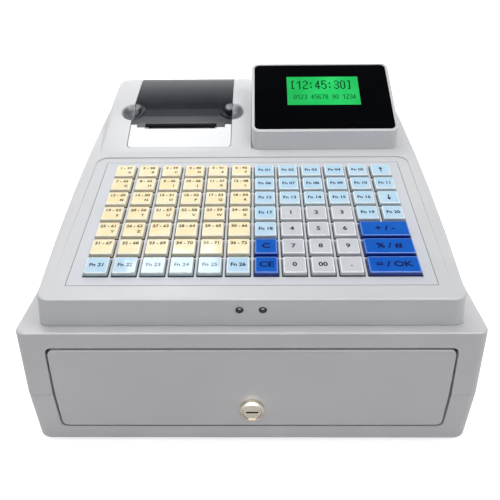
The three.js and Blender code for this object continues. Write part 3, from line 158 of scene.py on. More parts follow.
def combine(tree, x=0.0, y=0.0, z=0.0):
    node = add(tree, "ShaderNodeCombineXYZ")
    for socket, value in zip(node.inputs, (x, y, z)):
        feed(tree, socket, value)
    return node.outputs[0]


def distance(tree, vector):
    """How far a place is from the origin."""
    node = add(tree, "ShaderNodeVectorMath", operation="LENGTH")
    tree.links.new(vector, node.inputs[0])
    return node.outputs["Value"]


def own_place(tree):
    return add(tree, "ShaderNodeTexCoord").outputs["Object"]


def mapped(tree, **settings):
    """The piece's own coordinates, moved and scaled."""
    mapping = add(tree, "ShaderNodeMapping")
    for key, value in settings.items():
        mapping.inputs[key].default_value = value
    tree.links.new(own_place(tree), mapping.inputs["Vector"])
    return mapping.outputs["Vector"]


def noise(tree, size_mm, detail=3.0, stretch=(1, 1, 1)):
    """Noise on the piece's own coordinates, with features of about the size given."""
    texture = add(tree, "ShaderNodeTexNoise")
    texture.inputs["Scale"].default_value = 1 / (size_mm * MM)
    texture.inputs["Detail"].default_value = detail
    tree.links.new(mapped(tree, Scale=stretch), texture.inputs["Vector"])
    return texture.outputs["Fac"]


def remap(tree, source, start, end, low=0.0, high=1.0, kind="LINEAR"):
    """Maps a value from one range to another and holds it at the ends."""
    ramp = add(tree, "ShaderNodeMapRange", interpolation_type=kind)
    for key, value in (("From Min", start), ("From Max", end), ("To Min", low), ("To Max", high)):
        ramp.inputs[key].default_value = value
    tree.links.new(source, ramp.inputs["Value"])
    return ramp.outputs["Result"]


def spread(tree, source, low=0.0, high=1.0):
    """Maps the middle of a noise to a range of values."""
    return remap(tree, source, NOISE_LOW, NOISE_HIGH, low, high)


def tint(tree, source, first, second, target):
    mix = add(tree, "ShaderNodeMix", data_type="RGBA")
    for key, value in (("Factor", source), ("A", first), ("B", second)):
        feed(tree, mix.inputs[key], value)
    tree.links.new(mix.outputs["Result"], target)


def uneven_tone(tree, target, size_mm, first, second, detail=2.0):
    """Lets a colour drift between two tones, in patches of about the size given."""
    tint(tree, spread(tree, noise(tree, size_mm, detail)), first, second, target)


def uneven_gloss(tree, shader, size_mm, low, high, detail=3.0, stretch=(1, 1, 1)):
    """Lets the roughness drift between two values, in patches of about the size given."""
    level = spread(tree, noise(tree, size_mm, detail, stretch), low, high)
    tree.links.new(level, shader.inputs["Roughness"])


def colour_ramp(tree, source, stops, interpolation="LINEAR"):
    ramp = add(tree, "ShaderNodeValToRGB")
    ramp.color_ramp.interpolation = interpolation
    elements = ramp.color_ramp.elements
    while len(elements) < len(stops):
        elements.new(0.5)
    for element, (place, colour) in zip(elements, stops):
        element.position = place
        element.color = colour
    tree.links.new(source, ramp.inputs["Fac"])
    return ramp.outputs["Color"]


def bump(tree, height, depth_mm, target):
    node = add(tree, "ShaderNodeBump")
    node.inputs["Distance"].default_value = depth_mm * MM
    tree.links.new(height, node.inputs["Height"])
    tree.links.new(node.outputs["Normal"], target)


# Plastics and metals

PLASTIC_PATCH_MM, PLASTIC_DARK, PLASTIC_LIGHT = 45, 0.975, 1.02
PLASTIC_GLOSS_MM, PLASTIC_GLOSS_DRIFT = 12, 0.02
METAL_PATCH_MM, METAL_DARK, METAL_LIGHT = 12, 0.9, 1.05
METAL_GLOSS_MM, METAL_GLOSS_DRIFT = 3, 0.07


def moulded(name, colour, roughness, grain_mm=0.5, depth_mm=0.02):
    """Moulded plastic: a fine spark-eroded grain, slightly uneven in gloss and tone."""
    material, tree, shader = new_material(name)
    dark, light = shade(colour, PLASTIC_DARK), shade(colour, PLASTIC_LIGHT)
    uneven_tone(tree, shader.inputs["Base Color"], PLASTIC_PATCH_MM, dark, light)
    low, high = roughness - PLASTIC_GLOSS_DRIFT, roughness + PLASTIC_GLOSS_DRIFT
    uneven_gloss(tree, shader, PLASTIC_GLOSS_MM, low, high, 2.0)
    bump(tree, noise(tree, grain_mm), depth_mm, shader.inputs["Normal"])
    return material


def metal(name, colour, roughness, stretch, grain_mm, depth_mm=0.01):
    """Plated or brushed metal with a drawn grain."""
    material, tree, shader = new_material(name)
    shader.inputs["Metallic"].default_value = 1.0
    dark, light = shade(colour, METAL_DARK), shade(colour, METAL_LIGHT)
    uneven_tone(tree, shader.inputs["Base Color"], METAL_PATCH_MM, dark, light, 3.0)
    low, high = roughness - METAL_GLOSS_DRIFT, roughness + METAL_GLOSS_DRIFT
    uneven_gloss(tree, shader, METAL_GLOSS_MM, low, high, 4.0, stretch)
    bump(tree, noise(tree, grain_mm, 4.0, stretch), depth_mm, shader.inputs["Normal"])
    return material


def paint_dish_shade(material):
    """Paints shade into the finger dishes beside the lid: a grey that deepens from the rim to the bottom.
    """
    tree = material.node_tree
    colour = tree.nodes["Principled BSDF"].inputs["Base Color"]
    plain = colour.links[0].from_socket

    split = add(tree, "ShaderNodeSeparateXYZ")
    tree.links.new(own_place(tree), split.inputs[0])
    from_middle = calc(tree, "ABSOLUTE", calc(tree, "SUBTRACT", split.outputs["X"], LID_MIDDLE))
    across = calc(tree, "SUBTRACT", from_middle, LID_WIDTH / 2)
    along = calc(tree, "SUBTRACT", split.outputs["Y"], DISH_Y)
    height = calc(tree, "SUBTRACT", split.outputs["Z"], DISH_Z)
    down = calc(tree, "SUBTRACT", calc(tree, "MULTIPLY", along, math.sin(DISH_TILT)),
                calc(tree, "MULTIPLY", height, math.cos(DISH_TILT)))
    ball = combine(tree, across, calc(tree, "DIVIDE", along, DISH_LENGTH_SHARE), height)
    inside = remap(tree, distance(tree, ball), DISH_RADIUS + DISH_RIM_START, DISH_RADIUS + DISH_RIM_END)
    deep = remap(tree, down, DISH_LIFT, DISH_LIFT + DISH_FADE_SHARE * DISH_SINK, kind="SMOOTHSTEP")
    # Painted shade: grey mixed in inside each dish, darker towards its bottom.
    tint(tree, calc(tree, "MULTIPLY", inside, deep), plain, srgb(92, 93, 98), colour)


shell_plastic = moulded("shell_plastic", srgb(206, 206, 208), 0.3)
housing_plastic = moulded("housing_plastic", srgb(209, 210, 212), 0.3)
# Painted shade in the finger dishes of the housing plastic.
paint_dish_shade(housing_plastic)
plate_plastic = moulded("plate_plastic", srgb(205, 208, 213), 0.4)
black_plastic = moulded("black_plastic", srgb(30, 31, 34), 0.42, 0.7, 0.03)
# The flap is given a lighter white than the housing, a painted highlight where it catches the light.
flap_plastic_painted_highlight = moulded("flap_plastic_painted_highlight", srgb(235, 236, 238), 0.3)
smoked_plastic = moulded("smoked_plastic", srgb(6, 12, 24), 0.2, 1.0, 0.003)
nylon = moulded("nylon", srgb(226, 224, 214), 0.5, 0.8, 0.01)
rubber = moulded("rubber", srgb(44, 44, 46), 0.78, 0.6, 0.03)
zinc_steel = metal("zinc_steel", srgb(178, 181, 186), 0.34, (1, 6, 1), 0.5)
nickel = metal("nickel", srgb(214, 206, 190), 0.14, (1, 1, 1), 0.8, 0.003)

# Label cards, print and the clear sides of the key caps

CARD_SHINE, COAT_ROUGHNESS = 0.1, 0.06
COAT_WAVE_MM, COAT_WAVE_DEPTH_MM = 14, 0.12
INK_DARK, INK_LIGHT = 0.85, 1.2
# Heights up the side of a cap, as shares of it, between which its foot of painted shade, its flank and its
# lip of painted highlight lie.
RIM_FOOT_SHADE, RIM_FLANK_LOW, RIM_FLANK_HIGH, RIM_LIP_HIGHLIGHT = 0.10, 0.36, 0.70, 0.82
RIM_PATCH_MM, RIM_DARK, RIM_LIGHT = 4, 0.94, 1.04
RIM_GLOSS_MM, RIM_ROUGH_LOW, RIM_ROUGH_HIGH = 2, 0.16, 0.26


def under_clear_top(name, first, second, patch_mm, gloss_mm, rough, gloss_detail):
    """Card or print behind the clear top of a key cap, which isn't quite flat and bends what it mirrors."""
    material, tree, shader = new_material(name)
    uneven_tone(tree, shader.inputs["Base Color"], patch_mm, first, second)
    uneven_gloss(tree, shader, gloss_mm, *rough, gloss_detail)
    shader.inputs["Specular IOR Level"].default_value = CARD_SHINE
    shader.inputs["Coat Weight"].default_value = 1.0
    shader.inputs["Coat Roughness"].default_value = COAT_ROUGHNESS
    bump(tree, noise(tree, COAT_WAVE_MM, 1.0), COAT_WAVE_DEPTH_MM, shader.inputs["Coat Normal"])
    return material


def label_card(name, first, second):
    """Printed card, a little uneven in tone from key to key."""
    return under_clear_top(name, first, second,
                           patch_mm=16, gloss_mm=1.2, rough=(0.40, 0.55), gloss_detail=3.0)


def printed_ink(name, colour):
    dark, light = shade(colour, INK_DARK), shade(colour, INK_LIGHT)
    return under_clear_top(name, dark, light,
                           patch_mm=0.6, gloss_mm=0.8, rough=(0.45, 0.55), gloss_detail=2.0)


def above_deck(tree):
    """Height over the keyboard deck, in metres, on a piece at rest."""
    offset = add(tree, "ShaderNodeVectorMath", operation="SUBTRACT")
    offset.inputs[1].default_value = DECK_ORIGIN
    along = add(tree, "ShaderNodeVectorMath", operation="DOT_PRODUCT")
    along.inputs[1].default_value = (0, -math.sin(DECK_TILT), math.cos(DECK_TILT))
    tree.links.new(own_place(tree), offset.inputs[0])
    tree.links.new(offset.outputs["Vector"], along.inputs[0])
    return along.outputs["Value"]


def clear_rim_painted_light(name, lip, flank, foot):
    """Side of a clear key cap: a painted highlight at its upper lip, and painted shade darkening it towards
    the gap below.
    """
    material, tree, shader = new_material(name)
    height = remap(tree, above_deck(tree), 0.0, CAP_TOP)
    stops = ((0.0, foot), (RIM_FOOT_SHADE, foot), (RIM_FLANK_LOW, flank), (RIM_FLANK_HIGH, flank),
             (RIM_LIP_HIGHLIGHT, lip), (1.0, lip))
    uneven = add(tree, "ShaderNodeVectorMath", operation="SCALE")
    tree.links.new(colour_ramp(tree, height, stops), uneven.inputs["Vector"])
    patches = spread(tree, noise(tree, RIM_PATCH_MM, 2.0), RIM_DARK, RIM_LIGHT)
    tree.links.new(patches, uneven.inputs["Scale"])
    tree.links.new(uneven.outputs["Vector"], shader.inputs["Base Color"])
    uneven_gloss(tree, shader, RIM_GLOSS_MM, RIM_ROUGH_LOW, RIM_ROUGH_HIGH)
    return material


cream_label = label_card("cream_label", srgb(255, 236, 186), srgb(255, 247, 212))
sky_label = label_card("sky_label", srgb(184, 219, 242), srgb(198, 226, 243))
grey_label = label_card("grey_label", srgb(202, 204, 210), srgb(211, 213, 217))
blue_label = label_card("blue_label", srgb(4, 88, 190), srgb(10, 96, 196))
# On each cap side the first colour is a painted highlight at the lip, and the last is painted shade at the
# foot.
cream_rim = clear_rim_painted_light("cream_rim", srgb(255, 252, 238), srgb(214, 204, 178), srgb(104, 98, 88))
sky_rim = clear_rim_painted_light("sky_rim", srgb(250, 254, 255), srgb(176, 196, 206), srgb(66, 76, 84))
grey_rim = clear_rim_painted_light("grey_rim", srgb(252, 253, 255), srgb(186, 189, 194), srgb(76, 78, 84))
blue_rim = clear_rim_painted_light("blue_rim", srgb(96, 142, 232), srgb(12, 48, 138), srgb(8, 30, 96))
brown_ink = printed_ink("brown_ink", srgb(62, 44, 26))
slate_ink = printed_ink("slate_ink", srgb(26, 52, 84))
grey_ink = printed_ink("grey_ink", srgb(52, 55, 66))
navy_ink = printed_ink("navy_ink", srgb(4, 20, 78))

# Display, lamps, boards and paper

LCD_ROUGHNESS, LCD_DIM, LCD_BRIGHT, DOT_GLOW = 0.1, 0.56, 0.86, 0.8
TRACK_SCALE, TRACK_WIDTH = 90.0, 0.06
PAPER_ROUGHNESS, PAPER_RINGS, PAPER_WOBBLE, PAPER_RING_DEPTH_MM = 0.7, 220.0, 0.4, 0.02


def dark_gloss(name, first, second, patch_mm, gloss_mm, rough, gloss_detail):
    """Polished black with a trace of drift in its tone and gloss."""
    material, tree, shader = new_material(name)
    uneven_tone(tree, shader.inputs["Base Color"], patch_mm, first, second)
    uneven_gloss(tree, shader, gloss_mm, *rough, gloss_detail)
    return material


def lit_panel(name, patch_mm, first, second, unlit):
    """A glowing face under glass; its strength is left for the caller to set."""
    material, tree, shader = new_material(name)
    uneven_tone(tree, shader.inputs["Emission Color"], patch_mm, first, second)
    shader.inputs["Base Color"].default_value = unlit
    shader.inputs["Roughness"].default_value = LCD_ROUGHNESS
    return material, tree, shader.inputs["Emission Strength"]


def lit_lcd():
    """The backlight fades towards the left end and the rim of the panel."""
    dim, bright, unlit = srgb(38, 214, 104), srgb(52, 232, 118), srgb(10, 40, 20)
    material, tree, strength = lit_panel("lit_lcd", 18, dim, bright, unlit)
    fade = add(tree, "ShaderNodeTexGradient", gradient_type="SPHERICAL")
    across = mapped(tree, Location=(-GLOW_MIDDLE / GLOW_REACH, 0, 0), Scale=(1 / GLOW_REACH, 0, 0))
    tree.links.new(across, fade.inputs["Vector"])
    tree.links.new(remap(tree, fade.outputs["Fac"], 0.0, 1.0, LCD_DIM, LCD_BRIGHT), strength)
    return material


def lcd_dot():
    material, _, strength = lit_panel("lcd_dot", 4, srgb(10, 66, 34), srgb(16, 84, 42), srgb(4, 20, 10))
    strength.default_value = DOT_GLOW
    return material


def circuit_board():
    """Green solder mask with the copper tracks showing through as a lighter tone."""
    material, tree, shader = new_material("circuit_board")
    tracks = add(tree, "ShaderNodeTexBrick")
    for key, value in (("Scale", TRACK_SCALE), ("Mortar Size", TRACK_WIDTH), ("Color1", srgb(24, 84, 52)),
                       ("Color2", srgb(30, 96, 58)), ("Mortar", srgb(58, 132, 80))):
        tracks.inputs[key].default_value = value
    tree.links.new(own_place(tree), tracks.inputs["Vector"])
    tree.links.new(tracks.outputs["Color"], shader.inputs["Base Color"])
    uneven_gloss(tree, shader, 3, 0.25, 0.4)
    return material


def thermal_paper(centre):
    """White paper roll; the wound edges show as fine rings round the roll's axis."""
    material, tree, shader = new_material("thermal_paper")
    rings = add(tree, "ShaderNodeTexWave", wave_type="RINGS", rings_direction="X")
    rings.inputs["Scale"].default_value = PAPER_RINGS
    rings.inputs["Distortion"].default_value = PAPER_WOBBLE
    tree.links.new(mapped(tree, Location=tuple(-c for c in centre)), rings.inputs["Vector"])
    dark, light = srgb(232, 231, 226), srgb(247, 246, 242)
    tint(tree, rings.outputs["Fac"], dark, light, shader.inputs["Base Color"])
    shader.inputs["Roughness"].default_value = PAPER_ROUGHNESS
    bump(tree, rings.outputs["Fac"], PAPER_RING_DEPTH_MM, shader.inputs["Normal"])
    return material


window_glass = dark_gloss("window_black", srgb(2, 3, 5), srgb(5, 6, 9),
                          patch_mm=30, gloss_mm=8, rough=(0.03, 0.07), gloss_detail=3.0)
dark_lens = dark_gloss("lamp_lens", srgb(10, 10, 12), srgb(22, 21, 25),
                       patch_mm=2, gloss_mm=1, rough=(0.04, 0.09), gloss_detail=2.0)
lcd_green = lit_lcd()
lcd_mark = lcd_dot()
green_board = circuit_board()
roll_low, roll_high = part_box("paper_roll")
roll_paper = thermal_paper((roll_low + roll_high) / 2)

# Finished copies of CAD pieces

WELD_GAP, EMPTY_EDGE = 2e-6, 1e-6
FLAT_DEGREES, SMOOTH_DEGREES, CAP_SMOOTH_DEGREES = 0.4, 32, 25
EDGE_SEGMENTS, AREA_WEIGHT = 2, 50


def link(name, data):
    obj = bpy.data.objects.new(name, data)
    bpy.context.scene.collection.objects.link(obj)
    return obj


def attach(piece, body, node=None):
    """Lets a piece ride on its body and stand in for its CAD node."""
    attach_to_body(piece, body)
    if node:
        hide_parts(node)


def body_of_node(node):
    return nodes[node]["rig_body"]


def mesh_from(work, name, material):
    """Ends the work on a new mesh and gives it its material."""
    mesh = bpy.data.meshes.new(name)
    work.to_mesh(mesh)
    work.free()
    mesh.materials.append(material)
    return mesh


def smooth_by_angle(mesh, degrees):
    """Shades smooth, and keeps an edge sharp where its faces meet at more than the angle."""
    work = bmesh.new()
    work.from_mesh(mesh)
    for face in work.faces:
        face.smooth = True
    for edge in work.edges:
        edge.smooth = len(edge.link_faces) == 2 and edge.calc_face_angle(0.0) < math.radians(degrees)
    work.to_mesh(mesh)
    work.free()


def soften(piece, width, degrees):
    """Rounds the edges of a piece where its faces meet at more than the angle."""
    rounding = piece.modifiers.new("soft edges", "BEVEL")
    rounding.width = width
    rounding.segments = EDGE_SEGMENTS
    rounding.limit_method = "ANGLE"
    rounding.angle_limit = math.radians(degrees)
    rounding.harden_normals = False


def even_shading(piece):
    """Lets the large flat faces keep their own direction, so that only the rounds shade round."""
    weigh = piece.modifiers.new("even shading", "WEIGHTED_NORMAL")
    weigh.mode = "FACE_AREA"
    weigh.weight = AREA_WEIGHT
    weigh.keep_sharp = True


def finished(node, material, edge):
    """A copy of a CAD node with welded corners, smooth rounds and softened edges, in its place."""
    mesh = nodes[node].data.copy()
    mesh.name = node + "_finished"
    work = bmesh.new()
    work.from_mesh(mesh)
    bmesh.ops.remove_doubles(work, verts=work.verts, dist=WELD_GAP)
    bmesh.ops.dissolve_degenerate(work, edges=work.edges, dist=EMPTY_EDGE)
    flat = math.radians(FLAT_DEGREES)
    bmesh.ops.dissolve_limit(work, angle_limit=flat, verts=work.verts, edges=work.edges)
    work.to_mesh(mesh)
    work.free()
    mesh.materials.clear()
    mesh.materials.append(material)
    smooth_by_angle(mesh, SMOOTH_DEGREES)
    piece = link(node + "_finished", mesh)
    if edge:
        soften(piece, edge, SMOOTH_DEGREES)
    even_shading(piece)
    attach(piece, body_of_node(node), node)


FINISHED = {
    "cabinet_shell": (shell_plastic, "shell"),
    "cabinet_base": (shell_plastic, "shell"),
    "drawer_front": (shell_plastic, "shell"),
    "top_housing": (housing_plastic, "housing"),
    "display_pod": (housing_plastic, "housing"),
    "printer_flap": (flap_plastic_painted_highlight, "housing"),
    "printer_lid": (smoked_plastic, "smoked"),
    "lock_barrel": (nickel, "nickel"),
    "lock_plug": (nickel, "nickel"),
    "status_lamp_left": (dark_lens, "lamp"),
    "status_lamp_right": (dark_lens, "lamp"),
    "paper_roll": (roll_paper, "paper"),
    "platen_roller": (rubber, "rubber"),
    "display_window": (window_glass, "window"),
    "tray_roller_left": (nylon, "nylon"),
    "tray_roller_right": (nylon, "nylon"),
    "kick_spring": (zinc_steel, "steel"),
    "foot_front_left": (rubber, "rubber"),
    "foot_front_right": (rubber, "rubber"),
    "foot_rear_left": (rubber, "rubber"),
    "foot_rear_right": (rubber, "rubber"),
}
SOFT_EDGES = {"drawer_front": 0.5 * MM, "display_pod": 0.6 * MM, "printer_flap": 0.35 * MM}
for node, (material, slot) in FINISHED.items():
    finished(node, material, SOFT_EDGES.get(node))

KEPT = {
    "keyboard_plate": plate_plastic, "keyboard_board": green_board, "main_board": green_board,
    "drawer_tray": zinc_steel, "slide_rail_left": zinc_steel, "slide_rail_right": zinc_steel,
    "cash_insert": black_plastic, "print_mechanism": black_plastic, "power_jack": black_plastic,
    "lock_cam": zinc_steel, "latch_lever": zinc_steel, "latch_solenoid": zinc_steel,
    "solenoid_plunger": nickel, "lid_pin": zinc_steel, "lcd_panel": lcd_green,
    "bill_clip_1": zinc_steel, "bill_clip_2": zinc_steel,
    "bill_clip_3": zinc_steel, "bill_clip_4": zinc_steel,
}
for node, material in KEPT.items():
    mesh = nodes[node].data
    mesh.materials.clear()
    mesh.materials.append(material)

# Shapes that repeat


class Tree:
    """A Geometry Nodes tree with named inputs, written one node at a time."""

    def __init__(self, name):
        self.tree = bpy.data.node_groups.new(name, "GeometryNodeTree")
        self.tree.interface.new_socket("Geometry", in_out="INPUT", socket_type="NodeSocketGeometry")
        self.tree.interface.new_socket("Geometry", in_out="OUTPUT", socket_type="NodeSocketGeometry")
        self.start = self.tree.nodes.new("NodeGroupInput")
        self.end = self.tree.nodes.new("NodeGroupOutput")

    def size(self, name, value):
        socket = self.tree.interface.new_socket(name, in_out="INPUT", socket_type="NodeSocketFloat")
        socket.default_value = value
        return self.start.outputs[name]

    def material(self, name):
        self.tree.interface.new_socket(name, in_out="INPUT", socket_type="NodeSocketMaterial")
        return self.start.outputs[name]

    def node(self, kind, settings=None, **values):
        """A node with its settings and its inputs; an input's name has underscores for spaces."""
        node = add(self.tree, kind, **(settings or {}))
        for name, value in values.items():
            feed(self.tree, node.inputs[name.replace("_", " ")], value)
        return node

    def calc(self, operation, a, b):
        return calc(self.tree, operation, a, b)

    def up(self, height):
        return combine(self.tree, z=height)

    def on_places(self, shape):
        """Puts a shape on each of the given places and makes the copies real."""
        places = self.start.outputs["Geometry"]
        copies = self.node("GeometryNodeInstanceOnPoints", Points=places, Instance=shape)
        return self.node("GeometryNodeRealizeInstances", Geometry=copies.outputs[0]).outputs[0]

    def finish(self, shape):
        self.tree.links.new(shape, self.end.inputs[0])
        return self.tree


def plain_mesh(obj, name):
    """The evaluated shape of an object as a mesh of its own."""
    bpy.context.view_layer.update()
    evaluated = obj.evaluated_get(bpy.context.evaluated_depsgraph_get())
    mesh = bpy.data.meshes.new_from_object(evaluated)
    mesh.name = name
    return mesh


def from_tree(tree, points, name, **inputs):
    """Runs a tree on loose points and gives the result as a plain mesh."""
    seed = bpy.data.meshes.new(name + "_places")
    seed.from_pydata(points, [], [])
    carrier = link(name + "_carrier", seed)
    modifier = carrier.modifiers.new("places", "NODES")
    modifier.node_group = tree
    sockets = tree.interface.items_tree
    identifiers = {socket.name: socket.identifier for socket in sockets if socket.in_out == "INPUT"}
    for key, value in inputs.items():
        modifier[identifiers[key.replace("_", " ")]] = value
    mesh = plain_mesh(carrier, name)
    bpy.data.objects.remove(carrier)
    bpy.data.meshes.remove(seed)
    return mesh


# Key caps

CORNER_POINTS, LETTER_STEPS = 3, 3
# The rounded upper edge in two steps: each one's rise and narrowing, as shares of the edge.
EDGE_STEPS = ((0.6, 0.5), (0.4, 1.1))


def key_cap_tree():
    """Caps on the given key places: a rounded skirt drawn in to a top that holds the label."""
    t = Tree("key_caps")
    width = t.size("Skirt width", SKIRT_WIDTH)
    depth = t.size("Skirt depth", SKIRT_DEPTH)
    low = t.size("Skirt low", SKIRT_LOW)
    shoulder = t.size("Shoulder", SHOULDER)
    top = t.size("Cap top", CAP_TOP)
    narrow_x = t.size("Narrowing across", TOP_NARROW_X)
    narrow_y = t.size("Narrowing along", TOP_NARROW_Y)
    corner = t.size("Corner", CAP_CORNER)
    rim = t.size("Label rim", LABEL_RIM)
    sink = t.size("Label sink", LABEL_SINK)
    cap_material = t.material("Cap material")
    label_material = t.material("Label material")

    outline = t.node("GeometryNodeCurvePrimitiveQuadrilateral", Width=width, Height=depth)
    rounded = t.node("GeometryNodeFilletCurve", {"mode": "POLY"},
                     Curve=outline.outputs[0], Count=CORNER_POINTS, Radius=corner)
    filled = t.node("GeometryNodeFillCurve", {"mode": "NGONS"}, Curve=rounded.outputs[0])
    base = t.node("GeometryNodeTransform", Geometry=filled.outputs[0], Translation=t.up(low))
    shape, face, span_x, span_y = base.outputs[0], None, width, depth

    def draw_in(axis, span, less):
        """Narrows the top face along an axis by an amount, and gives its new span."""
        nonlocal shape
        now = t.calc("SUBTRACT", span, less)
        scale = t.node("GeometryNodeScaleElements", {"scale_mode": "SINGLE_AXIS"},
                       Geometry=shape, Selection=face, Scale=t.calc("DIVIDE", now, span), Axis=axis)
        shape = scale.outputs[0]
        return now

    def rise(height, less_x=None, less_y=None):
        """Draws the top face up by a height, and in by an amount across and along."""
        nonlocal shape, face, span_x, span_y
        up = t.node("GeometryNodeExtrudeMesh", Mesh=shape, Offset=t.up(height), Offset_Scale=1.0)
        if face is not None:
            feed(t.tree, up.inputs["Selection"], face)
        shape, face = up.outputs["Mesh"], up.outputs["Top"]
        if less_x is not None:
            span_x = draw_in((1, 0, 0), span_x, less_x)
            span_y = draw_in((0, 1, 0), span_y, less_y)

    rise(t.calc("SUBTRACT", shoulder, low))
    rise(t.calc("SUBTRACT", t.calc("SUBTRACT", top, shoulder), CAP_EDGE), narrow_x, narrow_y)
    for height_share, narrow_share in EDGE_STEPS:
        rise(CAP_EDGE * height_share, CAP_EDGE * narrow_share, CAP_EDGE * narrow_share)
    rise(0.0, rim, rim)
    rise(t.calc("MULTIPLY", sink, -1.0), LABEL_WALL, LABEL_WALL)
    cap = t.node("GeometryNodeSetMaterial", Geometry=shape, Material=cap_material)
    label = t.node("GeometryNodeSetMaterial",
                   Geometry=cap.outputs[0], Selection=face, Material=label_material)
    return t.finish(t.on_places(label.outputs[0]))


letter_cache = {}


def letters(text):
    """A word as a flat mesh one unit high, centred on its middle: its points and its faces."""
    if text not in letter_cache:
        curve = bpy.data.curves.new("word", "FONT")
        curve.body = text
        curve.size = 1.0
        curve.align_x, curve.align_y = "CENTER", "CENTER"
        curve.resolution_u = LETTER_STEPS
        curve.offset = LEGEND_BOLDNESS
        word = link("word", curve)
        mesh = plain_mesh(word, "word_mesh")
        bpy.data.objects.remove(word)
        points, faces = [v.co.copy() for v in mesh.vertices], [tuple(p.vertices) for p in mesh.polygons]
        letter_cache[text] = (points, faces)
        bpy.data.meshes.remove(mesh)
    return letter_cache[text]


def arrow(way):
    """An arrow one unit high that points up for a way of 1 and down for -1."""
    stem, wing, foot, neck, tip = 0.05, 0.2, -0.35, 0.1, 0.42
    outline = ((-stem, foot), (stem, foot), (stem, neck), (wing, neck),
               (0, tip), (-wing, neck), (-stem, neck))
    return [(x, way * y, 0) for x, y in outline], [tuple(range(len(outline)))[::way]]


def key_centre(column, row, columns=1):
    x = FIRST_KEY_X + (column - 1 + (columns - 1) / 2) * KEY_PITCH
    return Vector((x, FIRST_KEY_Y - (row - 1) * KEY_PITCH, 0))


def add_legend(work, material_index, shape, centre, height, stretch=1.0):
    """Lays a flat shape on the label of a cap."""
    points, faces = shape
    place = centre + Vector((0, 0, CAP_TOP - LABEL_SINK + LEGEND_LIFT))
    width = height * stretch
    corners = [work.verts.new(place + Vector((p[0] * width, p[1] * height, 0))) for p in points]
    for face in faces:
        work.faces.new([corners[i] for i in face]).material_index = material_index


caps = key_cap_tree()


def key_piece(node, places, legends, rim, label, ink, width=SKIRT_WIDTH):
    """All caps of one carrier with their legends, in the deck's plane and then tilted into place."""
    mesh = from_tree(caps, [tuple(p) for p in places], node + "_caps",
                     Skirt_width=width, Cap_material=rim, Label_material=label)
    work = bmesh.new()
    work.from_mesh(mesh)
    mesh.materials.append(ink)
    for legend in legends:
        add_legend(work, len(mesh.materials) - 1, *legend)
    work.to_mesh(mesh)
    work.free()
    mesh.transform(DECK)
    piece = link(node + "_caps", mesh)
    soften(piece, CAP_SOFT_EDGE, CAP_SMOOTH_DEGREES)
    attach(piece, body_of_node(node), node)


DEPARTMENT_COLUMNS, DEPARTMENT_ROWS = 6, 6
ALPHABET = "ABCDEFGHIJKLMNOPQRSTUVWXYZ"
PAIR_PLACE, PAIR_HEIGHT = Vector((0, 3.3, 0)) * MM, 4.1 * MM
LETTER_PLACE, LETTER_HEIGHT = Vector((3.9, -2.9, 0)) * MM, 3.7 * MM
CODE_HEIGHT, ARROW_HEIGHT = 4.6 * MM, 9 * MM
DIGIT_HEIGHT, DIGIT_STRETCH = 5.6 * MM, 1.1
SIGN_HEIGHT, SIGN_STRETCH = 7.0 * MM, 1.2


def department_legends(places):
    """A pair of numbers on each department key, and a letter on the first 26."""
    made = []
    for number, centre in enumerate(places, 1):
        pair = letters(f"{number} - {number + len(places)}")
        made.append((pair, centre + PAIR_PLACE, PAIR_HEIGHT))
        if number <= len(ALPHABET):
            made.append((letters(ALPHABET[number - 1]), centre + LETTER_PLACE, LETTER_HEIGHT))
    return made


cream_places = [key_centre(column + 1, row + 1)
                for row in range(DEPARTMENT_ROWS) for column in range(DEPARTMENT_COLUMNS)]
key_piece("cream_key_bank", cream_places, department_legends(cream_places),
          cream_rim, cream_label, brown_ink)

# Cells of the light blue keys, as column and row.
upper_sky = [(column, row) for row in (1, 2, 3) for column in range(7, 13)]
upper_sky += [(7, 4), (7, 5), (11, 4), (12, 4)]
lower_sky = [(column, KEY_ROWS) for column in range(1, 7)]
ARROW_CELLS = {(12, 1): 1, (12, 3): -1}
code = 0
for node, cells in (("sky_key_bank", upper_sky), ("sky_key_row", lower_sky)):
    marks = []
    for cell in cells:
        if cell in ARROW_CELLS:
            marks.append((arrow(ARROW_CELLS[cell]), key_centre(*cell), ARROW_HEIGHT))
        else:
            code += 1
            marks.append((letters(f"Fn {code:02d}"), key_centre(*cell), CODE_HEIGHT))
    key_piece(node, [key_centre(*c) for c in cells], marks, sky_rim, sky_label, slate_ink)

NUMBER_ROWS = ((4, ("1", "2", "3")), (5, ("4", "5", "6")), (6, ("7", "8", "9")), (7, ("0", "00", ".")))
FIRST_NUMBER_COLUMN = 8
for row, texts in NUMBER_ROWS:
    for column, text in enumerate(texts, FIRST_NUMBER_COLUMN):
        centre = key_centre(column, row)
        node = "key_" + ("point" if text == "." else text)
        key_piece(node, [centre], [(letters(text), centre, DIGIT_HEIGHT, DIGIT_STRETCH)],
                  grey_rim, grey_label, grey_ink)

for node, column, row, columns, text in (
        ("blue_key_upper", 7, 6, 1, "C"), ("blue_key_lower", 7, 7, 1, "CE"),
        ("wide_key_upper", 11, 5, 2, "+ / -"), ("wide_key_middle", 11, 6, 2, "% / #"),
        ("wide_key_lower", 11, 7, 2, "= / OK")):
    centre = key_centre(column, row, columns)
    key_piece(node, [centre], [(letters(text), centre, SIGN_HEIGHT, SIGN_STRETCH)],
              blue_rim, blue_label, navy_ink, SKIRT_WIDTH + (columns - 1) * KEY_PITCH)

# Painted shade in the gap round the keyboard plate: a thin black strip that darkens it


def ring(work, left, right, front, back, z):
    """Four corners at one height."""
    corners = ((left, front), (right, front), (right, back), (left, back))
    return [work.verts.new((x, y, z)) for x, y in corners]


def band(work, first, second):
    """Faces from each side of one ring of corners to the same side of the next."""
    for corner in range(len(first)):
        after = (corner + 1) % len(first)
        work.faces.new((first[corner], first[after], second[after], second[corner]))


